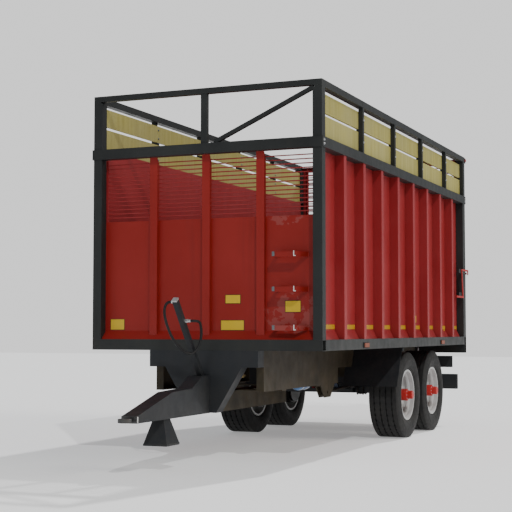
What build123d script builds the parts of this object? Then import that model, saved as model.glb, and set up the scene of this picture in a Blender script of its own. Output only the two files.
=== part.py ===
"""Tandem-axle high-sided tipping trailer for grain and forage, millimetres, +Z up.

The drawbar points towards -Y, +X is the trailer's left side, and Z = 0 is the ground under the
tyres. The origin is the middle of the whole trailer's outline on the ground. Lengthwise places
are "stations": distances behind the front face of the load body, turned into Y by at().
"""
import os
from math import asin, atan2, cos, degrees, hypot, pi, radians, sin, sqrt

from build123d import *

os.makedirs("parts", exist_ok=True)

# ---------------------------------------------------------------- driving sizes
body_width = 2550.0
body_length = 6000.0
sill_bottom = 1103.0
sill_height = 109.0
mid_rail_bottom = 3092.0
mid_rail_height = 105.0
frame_top = 3763.0
post_size = 97.0
tube_wall = 6.0
skin = 4.0
rail_overhang = 12.0

axle_station = 3417.0
axle_spacing = 1168.0
tyre_radius = 518.0
tyre_width = 385.0
rim_flange_radius = 306.0
wheel_face = 1179.0

drawbar_length = 1515.0
drawbar_width = 154.0
drawbar_bottom = 481.0
eye_reach = 75.0
eye_outer_radius = 62.0
eye_bore = 50.0
eye_thickness = 36.0

# ---------------------------------------------------------------- fits and gaps
weld_gap = 0.3
body_gap = 0.5
pin_clearance = 0.05
slide_clearance = 0.5
door_gap = 10.0

# ---------------------------------------------------------------- worked-out levels
half_width = body_width / 2
sill_top = sill_bottom + sill_height
mid_rail_top = mid_rail_bottom + mid_rail_height
chassis_top = sill_bottom - body_gap
door_thickness = 50.0
flange_thickness = 12.0
door_boss = 25.0
eye_station = -drawbar_length - flange_thickness - eye_reach
front_end = eye_station - eye_outer_radius
door_rear = body_length + door_gap + door_thickness
rear_end = door_rear + door_boss
front_face = -(front_end + rear_end) / 2


def at(station: float) -> float:
    """Y of a station measured rearwards from the front face of the load body."""
    return front_face + station


def block(x, y, z, mode=Mode.ADD):
    """Box between the limits x = (low, high), y as stations (front, rear) and z = (low, high)."""
    middle = ((x[0] + x[1]) / 2, at((y[0] + y[1]) / 2), (z[0] + z[1]) / 2)
    with Locations(middle):
        Box(x[1] - x[0], y[1] - y[0], z[1] - z[0], mode=mode)


def tube(x, y, z, axis, wall=tube_wall):
    """Open-ended hollow section between the limits of block(), running along the named axis."""
    block(x, y, z)
    limits = {"x": x, "y": y, "z": z}
    inner = {name: (low + wall, high - wall) for name, (low, high) in limits.items()}
    inner[axis] = (limits[axis][0] - 1, limits[axis][1] + 1)
    block(inner["x"], inner["y"], inner["z"], mode=Mode.SUBTRACT)


def side_profile(points, x_low, x_high, mode=Mode.ADD):
    """Plate or prism with an outline of (station, height) points, between two X values."""
    with BuildSketch(Plane.YZ.offset(x_low)) as outline:
        with BuildLine():
            Polyline([(at(station), height) for station, height in points], close=True)
        make_face()
    extrude(outline.sketch, amount=x_high - x_low, mode=mode)


def rod(start, end, radius, mode=Mode.ADD):
    """Round bar between two points given as (x, station, z)."""
    first = Vector(start[0], at(start[1]), start[2])
    last = Vector(end[0], at(end[1]), end[2])
    with BuildSketch(Plane(origin=first, z_dir=(last - first).normalized())) as section:
        Circle(radius)
    extrude(section.sketch, amount=(last - first).length, mode=mode)


def save(part: Part, name: str) -> None:
    """Label a finished piece and write it under its own name."""
    part.label = name
    export_step(part, f"parts/{name}.step")


both_sides = (-1, 1)


def span(side: int, low: float, high: float) -> tuple:
    """Limits from low to high measured outwards from the middle, on one side."""
    return (low, high) if side > 0 else (-high, -low)


# ================================================================ chassis
rail_outer = 600.0
rail_width = 80.0
rail_wall = 8.0
rail_inner = rail_outer - rail_width
deep_rail_bottom = 692.0
deep_rail_end = 2400.0
rail_bottom = 870.0
tail_bottom = 946.0
tail_start = 5540.0
rail_end = body_length - 150.0
bulkhead_depth = 150.0
tip_station = body_length - 200.0
tip_height = 1020.0

rail_points = [
    (bulkhead_depth + weld_gap, deep_rail_bottom),
    (deep_rail_end, deep_rail_bottom),
    (deep_rail_end, rail_bottom),
    (tail_start, rail_bottom),
    (tail_start + 60, tail_bottom),
    (rail_end, tail_bottom),
    (rail_end, tip_height + 40),
    (tip_station, chassis_top),
    (bulkhead_depth + weld_gap, chassis_top),
]
tip_pin_radius = 25.0
with BuildPart() as main_rails:
    for side in both_sides:
        low, high = span(side, rail_inner, rail_outer)
        side_profile(rail_points, low, high)
        with BuildSketch(Plane.YZ.offset(side * (rail_outer - rail_wall))):
            with BuildLine():
                Polyline([(at(station), height) for station, height in rail_points], close=True)
            make_face()
            offset(amount=-rail_wall, kind=Kind.INTERSECTION, mode=Mode.REPLACE)
        extrude(amount=-side * rail_width, mode=Mode.SUBTRACT)
        inner, outer = span(side, rail_inner - 1, rail_outer + 1)
        rod((inner, tip_station, tip_height), (outer, tip_station, tip_height),
            tip_pin_radius + pin_clearance, mode=Mode.SUBTRACT)
save(main_rails.part, "main_rails")

spine_half_width = 110.0
spine_end = 2000.0
cross_plate = 12.0
spine_top = deep_rail_bottom - cross_plate - weld_gap
member_bottom = 960.0
member_top = 1080.0
member_stations = (500.0, 1500.0, 2800.0, 3900.0, 4900.0)
bulkhead_bottom = 483.0
with BuildPart() as crossmembers:
    reach = rail_outer - rail_wall - weld_gap
    bogie_reach = rail_inner + 5 - weld_gap
    for station in member_stations:
        tube((-reach, reach), (station - 40, station + 40), (member_bottom, member_top), "x")
    tube((-bogie_reach, bogie_reach), (3961, 4041), (700, 860), "x")
    tube((-spine_half_width, spine_half_width), (bulkhead_depth + weld_gap, spine_end),
         (bulkhead_bottom, spine_top), "y", 8)
    for station in (700.0, 1720.0):
        block((-rail_outer, rail_outer), (station - 60, station + 60),
              (spine_top + weld_gap, deep_rail_bottom - weld_gap))
save(crossmembers.part, "crossmembers")

bulkhead_step = 937.0
bulkhead_knee = 424.0
bulkhead_foot = 146.0
with BuildPart() as front_bulkhead:
    with BuildSketch(Plane.XZ.offset(-at(0))) as bulkhead_face:
        with BuildLine():
            Polyline(
                (-rail_outer, chassis_top), (rail_outer, chassis_top),
                (rail_outer, bulkhead_step), (bulkhead_knee, bulkhead_step),
                (bulkhead_foot, bulkhead_bottom), (-bulkhead_foot, bulkhead_bottom),
                (-bulkhead_knee, bulkhead_step), (-rail_outer, bulkhead_step), close=True)
        make_face()
    extrude(amount=-bulkhead_depth)
    with BuildSketch(Plane.XZ.offset(-at(10))):
        add(bulkhead_face.sketch.face().moved(Location((0, 10, 0))))
        offset(amount=-10, kind=Kind.INTERSECTION, mode=Mode.REPLACE)
    extrude(amount=-bulkhead_depth, mode=Mode.SUBTRACT)
save(front_bulkhead.part, "front_bulkhead")

drawbar_half = drawbar_width / 2
drawbar_wall = 10.0
nose_height = 64.0
knee_height = 725.0
drawbar_top = 856.0
drawbar_points = [
    (-drawbar_length, drawbar_bottom),
    (-weld_gap, drawbar_bottom),
    (-weld_gap, drawbar_top),
    (-178, drawbar_top - 6),
    (-405, knee_height + 16),
    (-825, knee_height),
    (-drawbar_length, drawbar_bottom + nose_height),
]
stand_station = -897.0
leg_size = 90.0
with BuildPart() as drawbar:
    side_profile(drawbar_points, -drawbar_half, drawbar_half)
    with BuildSketch(Plane.YZ.offset(-drawbar_half + drawbar_wall)):
        with BuildLine():
            Polyline([(at(station), height) for station, height in drawbar_points], close=True)
        make_face()
        offset(amount=-drawbar_wall, kind=Kind.INTERSECTION, mode=Mode.REPLACE)
    extrude(amount=drawbar_width - 2 * drawbar_wall, mode=Mode.SUBTRACT)
    leg_hole = leg_size / 2 + slide_clearance
    block((-leg_hole, leg_hole), (stand_station - leg_hole, stand_station + leg_hole),
          (drawbar_bottom - 1, drawbar_bottom + drawbar_wall + 1), mode=Mode.SUBTRACT)
save(drawbar.part, "drawbar")

eye_height = 509.0
with BuildPart() as tow_eye:
    with BuildSketch(Plane.XY.offset(eye_height - eye_thickness / 2)):
        with Locations((0, at(eye_station))):
            Circle(eye_outer_radius)
        with Locations((0, at(eye_station + eye_reach / 2))):
            Rectangle(64, eye_reach)
        with Locations((0, at(eye_station))):
            Circle(eye_bore / 2, mode=Mode.SUBTRACT)
    extrude(amount=eye_thickness)
    block((-drawbar_half, drawbar_half),
          (-drawbar_length - flange_thickness, -drawbar_length - weld_gap),
          (drawbar_bottom, drawbar_bottom + nose_height))
    fillet(tow_eye.edges().filter_by(GeomType.CIRCLE), 4)
save(tow_eye.part, "tow_eye")

# ---------------------------------------------------------------- parking stand
foot_bottom = 238.0
foot_plate = 20.0
foot_length = 265.0
foot_width = 246.0
with BuildPart() as stand_leg:
    block((-foot_width / 2, foot_width / 2),
          (stand_station - foot_length / 2, stand_station + foot_length / 2),
          (foot_bottom, foot_bottom + foot_plate))
    with BuildSketch(Plane.XY.offset(foot_bottom + foot_plate)):
        with Locations((0, at(stand_station))):
            Rectangle(foot_width - 6, foot_length - 6)
    with BuildSketch(Plane.XY.offset(drawbar_bottom - body_gap)):
        with Locations((0, at(stand_station))):
            Rectangle(112, 132)
    loft()
    block((-leg_size / 2, leg_size / 2),
          (stand_station - leg_size / 2, stand_station + leg_size / 2),
          (drawbar_bottom - 1, drawbar_bottom + 200))
    block((-leg_size / 2 + 8, leg_size / 2 - 8),
          (stand_station - leg_size / 2 + 8, stand_station + leg_size / 2 - 8),
          (foot_bottom + foot_plate, drawbar_bottom + 201), mode=Mode.SUBTRACT)
save(stand_leg.part, "stand_leg")

# ---------------------------------------------------------------- hose post, fittings and hose
hose_tube = 50.0
post_foot = (-47.0, 846.0)
post_bend = (-128.0, 950.0)
post_head = (-620.0, 1590.0)
clip_length = 46.0
post_seat = drawbar_top - 1.15 + weld_gap
with BuildPart() as hose_post:
    with BuildSketch(Plane.YZ.offset(-hose_tube / 2)):
        with BuildLine():
            Polyline([(at(station), height) for station, height in (post_foot, post_bend, post_head)])
        trace(line_width=hose_tube)
    extrude(amount=hose_tube)
    split(bisect_by=Plane.XY.offset(post_seat), keep=Keep.TOP)
    block((-hose_tube, hose_tube), (-weld_gap, 60), (drawbar_top - 60, drawbar_top + 90),
          mode=Mode.SUBTRACT)
save(hose_post.part, "hose_post")

lean = atan2(post_head[1] - post_bend[1], post_bend[0] - post_head[0])
post_run = Vector(0, -cos(lean), sin(lean))
head_point = Vector(0, at(post_head[0]), post_head[1])
hose_radius = 13.0
hose_points = [
    (-42, -612, 1578), (-88, -612, 1578), (-104, -640, 1530), (-102, -652, 1468),
    (-90, -646, 1396), (-76, -616, 1316), (-62, -564, 1236), (-46, -490, 1160),
    (-18, -404, 1096), (26, -330, 1068), (64, -276, 1108), (88, -246, 1186),
    (104, -252, 1268), (124, -304, 1338), (145, -376, 1386), (145, -455, 1396), (87, -455, 1396),
]
coupler_station = -455.0
coupler_height = 1396.0
with BuildPart() as hose_fittings:
    with BuildSketch(Plane(origin=head_point + post_run * weld_gap, z_dir=post_run)):
        Rectangle(hose_tube + 6, hose_tube + 6)
    extrude(amount=16)
    rod((-hose_tube / 2 - weld_gap, -612, 1578), (-hose_tube / 2 - 17, -612, 1578), 17)
    with BuildSketch(Plane.YZ.offset(hose_tube / 2 + weld_gap)):
        with Locations((at(coupler_station), coupler_height)):
            RegularPolygon(19, 6)
    extrude(amount=30)
    rod((hose_tube / 2 + 30, coupler_station, coupler_height),
        (hose_tube / 2 + 62, coupler_station, coupler_height), 15)
save(hose_fittings.part, "hose_fittings")

with BuildPart() as hydraulic_hose:
    route = [Vector(x, at(station), z) for x, station, z in hose_points]
    bends = []
    for before, corner, after in zip(route, route[1:], route[2:]):
        turn = radians((corner - before).get_angle(after - corner))
        shorter = min((corner - before).length, (after - corner).length)
        bends.append(0.45 * shorter / sin(turn / 2) * cos(turn / 2))
    print("hose bend radii", [round(radius) for radius in bends])
    with BuildLine() as hose_line:
        FilletPolyline(*route, radius=bends)
    hose_path = hose_line.wires()[0]
    with BuildSketch(Plane(origin=hose_path @ 0, z_dir=hose_path % 0)):
        Circle(hose_radius)
    sweep(path=hose_path)
print("hose length", round(hose_path.length), "volume check",
      round(hydraulic_hose.part.volume / (pi * hose_radius**2 * hose_path.length), 4))
save(hydraulic_hose.part, "hydraulic_hose")

# ---------------------------------------------------------------- springs, axles and brakes
spring_inner = 535.0
spring_outer = 585.0
cheek = 10.0
eye_pin = 15.0
spring_eye = 28.0
pin_height = 640.0
front_eye = (2055.0, 600.0)
beam_half = 40.0
beam_bottom = 530.0
beam_top = beam_bottom + 2 * beam_half
leaf = 14.0
leaf_stack = 22.0
axle_stations = (axle_station, axle_station + axle_spacing)
bogie_middle = sum(axle_stations) / 2
middle_eyes = (bogie_middle - 41, bogie_middle + 41)
rear_eye = axle_stations[1] + 595
hanger_profiles = (
    [(1820, deep_rail_bottom - weld_gap), (2300, deep_rail_bottom - weld_gap), (2155, 545), (1950, 545)],
    [(bogie_middle - 130, rail_bottom - weld_gap), (bogie_middle + 130, rail_bottom - weld_gap),
     (bogie_middle + 85, 605), (bogie_middle - 85, 605)],
    [(rear_eye - 110, rail_bottom - weld_gap), (rear_eye + 110, rail_bottom - weld_gap),
     (rear_eye + 50, 600), (rear_eye - 50, 600)],
)
hanger_pins = (front_eye, (middle_eyes[0], pin_height), (middle_eyes[1], pin_height),
               (rear_eye, pin_height))
with BuildPart() as spring_hangers:
    for side in both_sides:
        for profile in hanger_profiles:
            for cheek_inner in (spring_inner - cheek, spring_outer):
                low, high = span(side, cheek_inner, cheek_inner + cheek)
                side_profile(profile, low, high)
        for station, top in ((1975, deep_rail_bottom), (bogie_middle - 7, rail_bottom), (rear_eye - 62, rail_bottom)):
            block(span(side, spring_inner, spring_outer), (station - 14, station),
                  (top - 90, top - weld_gap))
        for station, height in hanger_pins:
            low, high = span(side, spring_inner - cheek - 8, spring_outer + cheek + 8)
            rod((low, station, height), (high, station, height), eye_pin)
save(spring_hangers.part, "spring_hangers")

seat_bottom = beam_top + weld_gap
seat_top = seat_bottom + leaf_stack + leaf
springs = (
    (front_eye, (middle_eyes[0], pin_height), axle_stations[0]),
    ((middle_eyes[1], pin_height), (rear_eye, pin_height), axle_stations[1]),
)
with BuildPart() as leaf_springs:
    for side in both_sides:
        low, high = span(side, spring_inner + 1, spring_outer - 1)
        for front, rear, seat in springs:
            side_profile([(front[0], front[1] - leaf / 2), (seat - 120, seat_bottom + leaf_stack),
                          (seat + 120, seat_bottom + leaf_stack), (rear[0], rear[1] - leaf / 2),
                          (rear[0], rear[1] + leaf / 2), (seat + 120, seat_top), (seat - 120, seat_top),
                          (front[0], front[1] + leaf / 2)], low, high)
            side_profile([(seat - 430, seat_bottom + leaf_stack), (seat - 330, seat_bottom),
                          (seat + 330, seat_bottom), (seat + 430, seat_bottom + leaf_stack)], low, high)
            for station, height in (front, rear):
                rod((low, station, height), (high, station, height), spring_eye)
        for station, height in hanger_pins:
            rod((low - 1, station, height), (high + 1, station, height),
                eye_pin + pin_clearance, mode=Mode.SUBTRACT)
save(leaf_springs.part, "leaf_springs")

with BuildPart() as axle_clamps:
    for side in both_sides:
        for station in axle_stations:
            outline = span(side, spring_inner - 20, spring_outer + 20)
            block(outline, (station - 75, station + 75), (seat_top + weld_gap, seat_top + 12))
            block(outline, (station - 75, station + 75), (beam_bottom - 12, beam_bottom - weld_gap))
            for x in (spring_inner - 10, spring_outer + 10):
                for y in (station - 56, station + 56):
                    rod((side * x, y, beam_bottom - 22), (side * x, y, seat_top + 30), 8)
save(axle_clamps.part, "axle_clamps")

wheel_middle = wheel_face - tyre_width / 2
spindle_radius = 45.0
spindle_end = 130.0
hub_bore_end = 136.0
plate_radius = 188.0
with BuildPart() as axles:
    for station in axle_stations:
        tube((-690, 690), (station - beam_half, station + beam_half), (beam_bottom, beam_top), "x", 9)
        for side in both_sides:
            block(span(side, 690, 730), (station - 58, station + 58), (tyre_radius - 56, beam_top))
            rod((side * 730, station, tyre_radius), (side * (wheel_middle + spindle_end), station,
                tyre_radius), spindle_radius)
            rod((side * 768, station, tyre_radius), (side * 782, station, tyre_radius), plate_radius)
save(axles.part, "axles")

with BuildPart() as brake_chambers:
    for side in both_sides:
        for station in axle_stations:
            rod((side * 230, station - 130, 602), (side * 230, station - 80, 602), 66)
            rod((side * 230, station - 81, 592), (side * 230, station - beam_half - weld_gap, 592), 14)
save(brake_chambers.part, "brake_chambers")


# ---------------------------------------------------------------- wheels
def wheel_plane(side: int, station: float) -> Plane:
    """Plane through a wheel's middle: its X runs outwards along the axle and its Y runs up."""
    return Plane(origin=(side * wheel_middle, at(station), tyre_radius), x_dir=(side, 0, 0),
                 z_dir=(0, -side, 0))


rim_gap = 0.3
bead_half = 152.0
bead_radius = 292.0
tread_half = 164.0
groove_width = 9.0
groove_depth = 12.0
groove_offsets = (-108.0, -36.0, 36.0, 108.0)
disc = 12.0
spigot_radius = 110.0
stud_circle = 140.0
stud_count = 10
drum_radius = 200.0
hub_radius = 72.0
hub_end = 164.0
cap_radius = 50.0
cap_end = 229.0
wheel_names = {(1, 0): "left_front", (1, 1): "left_rear", (-1, 0): "right_front", (-1, 1): "right_rear"}

for (side, row), wheel_name in wheel_names.items():
    plane = wheel_plane(side, axle_stations[row])
    turning_axis = Axis(plane.origin, (1, 0, 0))
    with BuildPart() as tyre:
        with BuildSketch(plane):
            with BuildLine():
                right_wall = ThreePointArc((bead_half, bead_radius + 16), (tyre_width / 2, 405),
                                           (tread_half + 12, tyre_radius - 20))
                shoulder = Line(right_wall @ 1, (tread_half, tyre_radius))
                crown = Line(shoulder @ 1, (-tread_half, tyre_radius))
                Line(crown @ 1, (-tread_half - 12, tyre_radius - 20))
                ThreePointArc((-tread_half - 12, tyre_radius - 20), (-tyre_width / 2, 405),
                              (-bead_half, bead_radius + 16))
                Polyline((-bead_half, bead_radius + 16), (-bead_half, bead_radius),
                         (-bead_half + 22, bead_radius))
                ThreePointArc((-bead_half + 22, bead_radius), (-tyre_width / 2 + 20, 400),
                              (-tread_half + 18, tyre_radius - 30))
                Line((-tread_half + 18, tyre_radius - 30), (tread_half - 18, tyre_radius - 30))
                ThreePointArc((tread_half - 18, tyre_radius - 30), (tyre_width / 2 - 20, 400),
                              (bead_half - 22, bead_radius))
                Polyline((bead_half - 22, bead_radius), (bead_half, bead_radius),
                         (bead_half, bead_radius + 16))
            make_face()
            with Locations([(x, tyre_radius - groove_depth / 2 + 1) for x in groove_offsets]):
                Rectangle(groove_width, groove_depth + 2, mode=Mode.SUBTRACT)
        revolve(axis=turning_axis)
    save(tyre.part, f"{wheel_name}_tyre")

    with BuildPart() as rim:
        barrel_radius = bead_radius - rim_gap
        lip = bead_half + rim_gap
        with BuildSketch(plane):
            with BuildLine():
                Polyline((-lip - 8, barrel_radius - 9), (-lip - 8, rim_flange_radius),
                         (-lip, rim_flange_radius), (-lip, barrel_radius), (lip, barrel_radius),
                         (lip, rim_flange_radius), (lip + 8, rim_flange_radius),
                         (lip + 8, barrel_radius - 9), close=True)
            make_face()
            with BuildLine():
                Polyline((0, spigot_radius + rim_gap), (disc, spigot_radius + rim_gap), (disc, 200),
                         (42, barrel_radius - 9), (42 - disc, barrel_radius - 9), (0, 200), close=True)
            make_face()
        revolve(axis=turning_axis)
        with BuildSketch(Plane(plane.origin + plane.x_dir * (disc + rim_gap), z_dir=plane.x_dir)) as nut_ring:
            with PolarLocations(stud_circle, stud_count):
                RegularPolygon(17, 6)
        extrude(nut_ring.sketch, amount=19)
        with BuildSketch(Plane(plane.origin + plane.x_dir * (disc + 19), z_dir=plane.x_dir)) as stud_ring:
            with PolarLocations(stud_circle, stud_count):
                Circle(11)
        extrude(stud_ring.sketch, amount=16)
    save(rim.part, f"{wheel_name}_rim")

    with BuildPart() as hub:
        with BuildSketch(plane):
            with BuildLine():
                Polyline((-172, spindle_radius + pin_clearance), (hub_bore_end, spindle_radius + pin_clearance),
                         (hub_bore_end, 0), (cap_end, 0), (cap_end, cap_radius - 8),
                         (cap_end - 8, cap_radius), (hub_end, cap_radius), (hub_end, hub_radius - 6),
                         (hub_end - 6, hub_radius), (disc + 4, hub_radius), (disc + 4, spigot_radius),
                         (-rim_gap, spigot_radius), (-rim_gap, 165), (-16, 165),
                         (-22, drum_radius), (-186, drum_radius), (-186, drum_radius - 12),
                         (-34, drum_radius - 12), (-34, 80), (-172, 80), close=True)
            make_face()
        revolve(axis=turning_axis)
    save(hub.part, f"{wheel_name}_hub")

# ---------------------------------------------------------------- mudflaps and rear bars
flap_inner = 525.0
flap_outer = 1200.0
flap_top = (3000.0, 1092.0)
flap_foot = (2780.0, 640.0)
flap_thickness = 8.0
notch_height = rail_bottom - 8
flap_slope = (flap_top[0] - flap_foot[0]) / (flap_top[1] - flap_foot[1])
notch_station = flap_foot[0] + (notch_height - flap_foot[1]) * flap_slope
with BuildPart() as mudflaps:
    for side in both_sides:
        low, high = span(side, rail_outer + 5, flap_outer)
        side_profile([flap_top, (flap_top[0] + flap_thickness, flap_top[1]),
                      (flap_foot[0] + flap_thickness, flap_foot[1]), flap_foot], low, high)
        low, high = span(side, flap_inner, rail_outer + 6)
        side_profile([(notch_station, notch_height), (notch_station + flap_thickness, notch_height),
                      (flap_foot[0] + flap_thickness, flap_foot[1]), flap_foot], low, high)
save(mudflaps.part, "mudflaps")

arm_station = flap_top[0] + flap_thickness + weld_gap
with BuildPart() as flap_arms:
    for side in both_sides:
        block(span(side, rail_outer + weld_gap, flap_outer + 6), (arm_station, arm_station + 34),
              (1056, 1096))
save(flap_arms.part, "flap_arms")

light_bar_half = 1150.0
light_bar = (790.0, tail_bottom - weld_gap)
bumper_half = 1220.0
bumper = (491.0, 695.0)
with BuildPart() as rear_bars:
    tube((-light_bar_half, light_bar_half), (5620, 5700), light_bar, "x")
    tube((-bumper_half, bumper_half), (5630, 5710), bumper, "x")
    for side in both_sides:
        tube(span(side, 540, 600), (5640, 5690), (bumper[1] + weld_gap, light_bar[0] - weld_gap), "z")
save(rear_bars.part, "rear_bars")

with BuildPart() as rear_lamps:
    for side in both_sides:
        block(span(side, 850, 1110), (5700 + weld_gap, 5728), (814, 922))
    fillet(rear_lamps.edges().filter_by(Axis.Z), 6)
save(rear_lamps.part, "rear_lamps")

lug_thickness = 20.0
lug_inner = rail_outer + 2
lug_outer = lug_inner + lug_thickness
with BuildPart() as tip_pins:
    for side in both_sides:
        for start, end, radius in ((rail_outer - 24, lug_outer + 6, tip_pin_radius),
                                   (lug_outer + 2, lug_outer + 12, tip_pin_radius + 11),
                                   (rail_outer - rail_wall - 14, rail_outer - rail_wall - weld_gap,
                                    tip_pin_radius + 11)):
            rod((side * start, tip_station, tip_height), (side * end, tip_station, tip_height), radius)
save(tip_pins.part, "tip_pins")

# ================================================================ tipping ram
ram_top_station = 3200.0
ram_top_height = 1155.0
ram_foot_height = 585.0
tip_limit = 40.0
tip_radius = hypot(tip_station - ram_top_station, ram_top_height - tip_height)
ram_foot_station = tip_station - sqrt(tip_radius**2 - (tip_height - ram_foot_height) ** 2)
ram_foot = Vector(0, at(ram_foot_station), ram_foot_height)
ram_top = Vector(0, at(ram_top_station), ram_top_height)
ram_axis = (ram_top - ram_foot).normalized()
ram_closed = (ram_top - ram_foot).length
closed_angle = 2 * asin(ram_closed / (2 * tip_radius))
ram_open = 2 * tip_radius * sin((closed_angle + radians(tip_limit)) / 2)
stage_count = 4
stage_stroke = (ram_open - ram_closed) / stage_count
barrel_outer = 75.0
stage_wall = 8.0
stage_clearance = 1.0
barrel_start = 38.0
barrel_floor = 50.0
barrel_end = 500.0
ball_radius = 32.0
cradle_pin = 12.0
print("ram closed", round(ram_closed, 1), "open", round(ram_open, 1), "stroke", round(stage_stroke, 2),
      "foot station", round(ram_foot_station, 2))


def ram_plane(distance: float) -> Plane:
    """Plane square to the ram, at a distance from its lower pivot."""
    return Plane(origin=ram_foot + ram_axis * distance, x_dir=(1, 0, 0), z_dir=ram_axis)


def ram_cylinder(start: float, end: float, radius: float, mode=Mode.ADD):
    """Cylinder on the ram's line between two distances from its lower pivot."""
    with BuildSketch(ram_plane(start)) as section:
        Circle(radius)
    extrude(section.sketch, amount=end - start, mode=mode)


with BuildPart() as ram_barrel:
    ram_cylinder(barrel_start, barrel_end, barrel_outer)
    ram_cylinder(barrel_floor, barrel_end + 1, barrel_outer - 6, mode=Mode.SUBTRACT)
    rod((-24, ram_foot_station, ram_foot_height), (24, ram_foot_station, ram_foot_height), 25)
    ram_cylinder(10, barrel_start + 4, 20)
    rod((-25, ram_foot_station, ram_foot_height), (25, ram_foot_station, ram_foot_height),
        cradle_pin + pin_clearance, mode=Mode.SUBTRACT)
save(ram_barrel.part, "ram_barrel")

stage_outer = barrel_outer - 6 - stage_clearance
for number in range(1, stage_count + 1):
    last = number == stage_count
    with BuildPart() as ram_stage:
        if last:
            ram_cylinder(barrel_floor + 2 * number, ram_closed - 60, stage_outer)
            ram_cylinder(ram_closed - 61, ram_closed - 10, 20)
            with BuildSketch(Plane(origin=ram_top, x_dir=(1, 0, 0), z_dir=(0, -1, 0))):
                Circle(ball_radius)
                Rectangle(2 * ball_radius, 2 * ball_radius, align=(Align.MAX, Align.CENTER),
                          mode=Mode.SUBTRACT)
            revolve(axis=Axis(ram_top, (0, 0, 1)))
        else:
            ram_cylinder(barrel_floor + 2 * number, barrel_end + 8 * number, stage_outer)
            ram_cylinder(41, barrel_end + 9 * number, stage_outer - stage_wall, mode=Mode.SUBTRACT)
    save(ram_stage.part, f"ram_stage_{number}")
    stage_outer -= stage_wall + stage_clearance

cradle_bottom = 545.0
cradle_half = rail_inner - 15 - weld_gap
with BuildPart() as ram_cradle:
    front = ram_foot_station - 40
    rear = ram_foot_station + 40
    block((-cradle_half, cradle_half), (front, rear), (cradle_bottom, cradle_bottom + 12))
    for start, end in ((front, front + 6), (rear - 6, rear)):
        block((-cradle_half, cradle_half), (start, end), (cradle_bottom, cradle_bottom + 42))
    for side in both_sides:
        block(span(side, rail_inner - 15, rail_inner - weld_gap), (front - 20, rear + 20),
              (cradle_bottom, 1060))
        block(span(side, 25, 37), (ram_foot_station - 26, ram_foot_station + 26),
              (cradle_bottom, ram_foot_height + 26))
    rod((-44, ram_foot_station, ram_foot_height), (44, ram_foot_station, ram_foot_height), cradle_pin)
save(ram_cradle.part, "ram_cradle")

# ================================================================ load body
sill_inner = half_width - post_size
rear_sill_bottom = 986.0
rear_sill = 100.0
door_sill_station = body_length - rear_sill
with BuildPart() as sills:
    tube((-half_width, half_width), (0, post_size), (sill_bottom, sill_top), "x")
    tube((-half_width, half_width), (door_sill_station, body_length), (rear_sill_bottom, sill_top), "x")
    for side in both_sides:
        tube(span(side, sill_inner, half_width), (post_size + weld_gap, door_sill_station - weld_gap),
             (sill_bottom, sill_top), "y")
save(sills.part, "sills")

floor_thickness = 6.0
floor_edge = sill_inner - weld_gap
floor_bottom = sill_top - floor_thickness
with BuildPart() as floor:
    block((-floor_edge, floor_edge), (post_size + weld_gap, door_sill_station - weld_gap),
          (floor_bottom, sill_top))
save(floor.part, "floor")

bearer_half = 30.0
ram_bearers = (ram_top_station - 140, ram_top_station + 140)
bearer_stations = (300.0, 950.0, 1600.0, 2250.0, *ram_bearers, 3950.0, 4600.0, 5200.0, tip_station)
bearer_top = floor_bottom - weld_gap
with BuildPart() as floor_bearers:
    for station in bearer_stations:
        tube((-floor_edge, floor_edge), (station - bearer_half, station + bearer_half),
             (sill_bottom, bearer_top), "x")
    block((-62, 62), (ram_bearers[0] + bearer_half + weld_gap, ram_bearers[1] - bearer_half - weld_gap),
          (1132, bearer_top))
    with Locations(ram_top):
        Sphere(ball_radius + body_gap, mode=Mode.SUBTRACT)
    # The cup is a shallow cap, so that the ball leaves it freely when the ram leans.
    with Locations(ram_top - Vector(0, 0, 5)):
        Cone(75, ball_radius + body_gap, 38, mode=Mode.SUBTRACT)
save(floor_bearers.part, "floor_bearers")

sheet_station = 107.0
sheet_top = 2440.0
foot_rise = 88.0
foot_station = 18.0
wall_bottom = sill_top + weld_gap
rib_depth = 100.0
recess_face = half_width - rib_depth
sheet_edge = recess_face - skin - weld_gap
with BuildPart() as front_panel:
    side_profile([(sheet_station, sheet_top), (sheet_station + skin, sheet_top),
                  (sheet_station + skin, wall_bottom + foot_rise - 2),
                  (foot_station + 6, wall_bottom), (foot_station, wall_bottom),
                  (sheet_station, wall_bottom + foot_rise)], -floor_edge, floor_edge)
save(front_panel.part, "front_panel")

head_post_width = 86.0
head_post_front = 60.0
head_post_offsets = (-598.0, 0.0, 598.0)
head_post_rear = sheet_station - weld_gap
slope_at_front = wall_bottom + foot_rise * (head_post_front - foot_station) / (sheet_station - foot_station)
head_post_profile = [
    (head_post_front, mid_rail_bottom - weld_gap), (head_post_front, slope_at_front + 2),
    (head_post_rear, wall_bottom + foot_rise + 2), (head_post_rear, mid_rail_bottom - 75)]
with BuildPart() as headboard_posts:
    for x in head_post_offsets:
        side_profile(head_post_profile, x - head_post_width / 2, x + head_post_width / 2)
        block((x - head_post_width / 2 + 5, x + head_post_width / 2 - 5),
              (head_post_front + 5, head_post_rear + 1), (wall_bottom, mid_rail_bottom),
              mode=Mode.SUBTRACT)
save(headboard_posts.part, "headboard_posts")

bar_radius = 6.0
bar_pitch = 43.0
bar_station = sheet_station + skin + bar_radius
bar_heights = [sheet_top + bar_pitch * (number + 1) for number in range(14)]
with BuildPart() as headboard_grille:
    for height in bar_heights:
        rod((-sheet_edge, bar_station, height), (sheet_edge, bar_station, height), bar_radius)
    for x in (-sheet_edge + 6, *head_post_offsets, sheet_edge - 6):
        block((x - 6, x + 6), (sheet_station, bar_station + bar_radius),
              (sheet_top + weld_gap, mid_rail_bottom - weld_gap))
save(headboard_grille.part, "headboard_grille")

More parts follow.
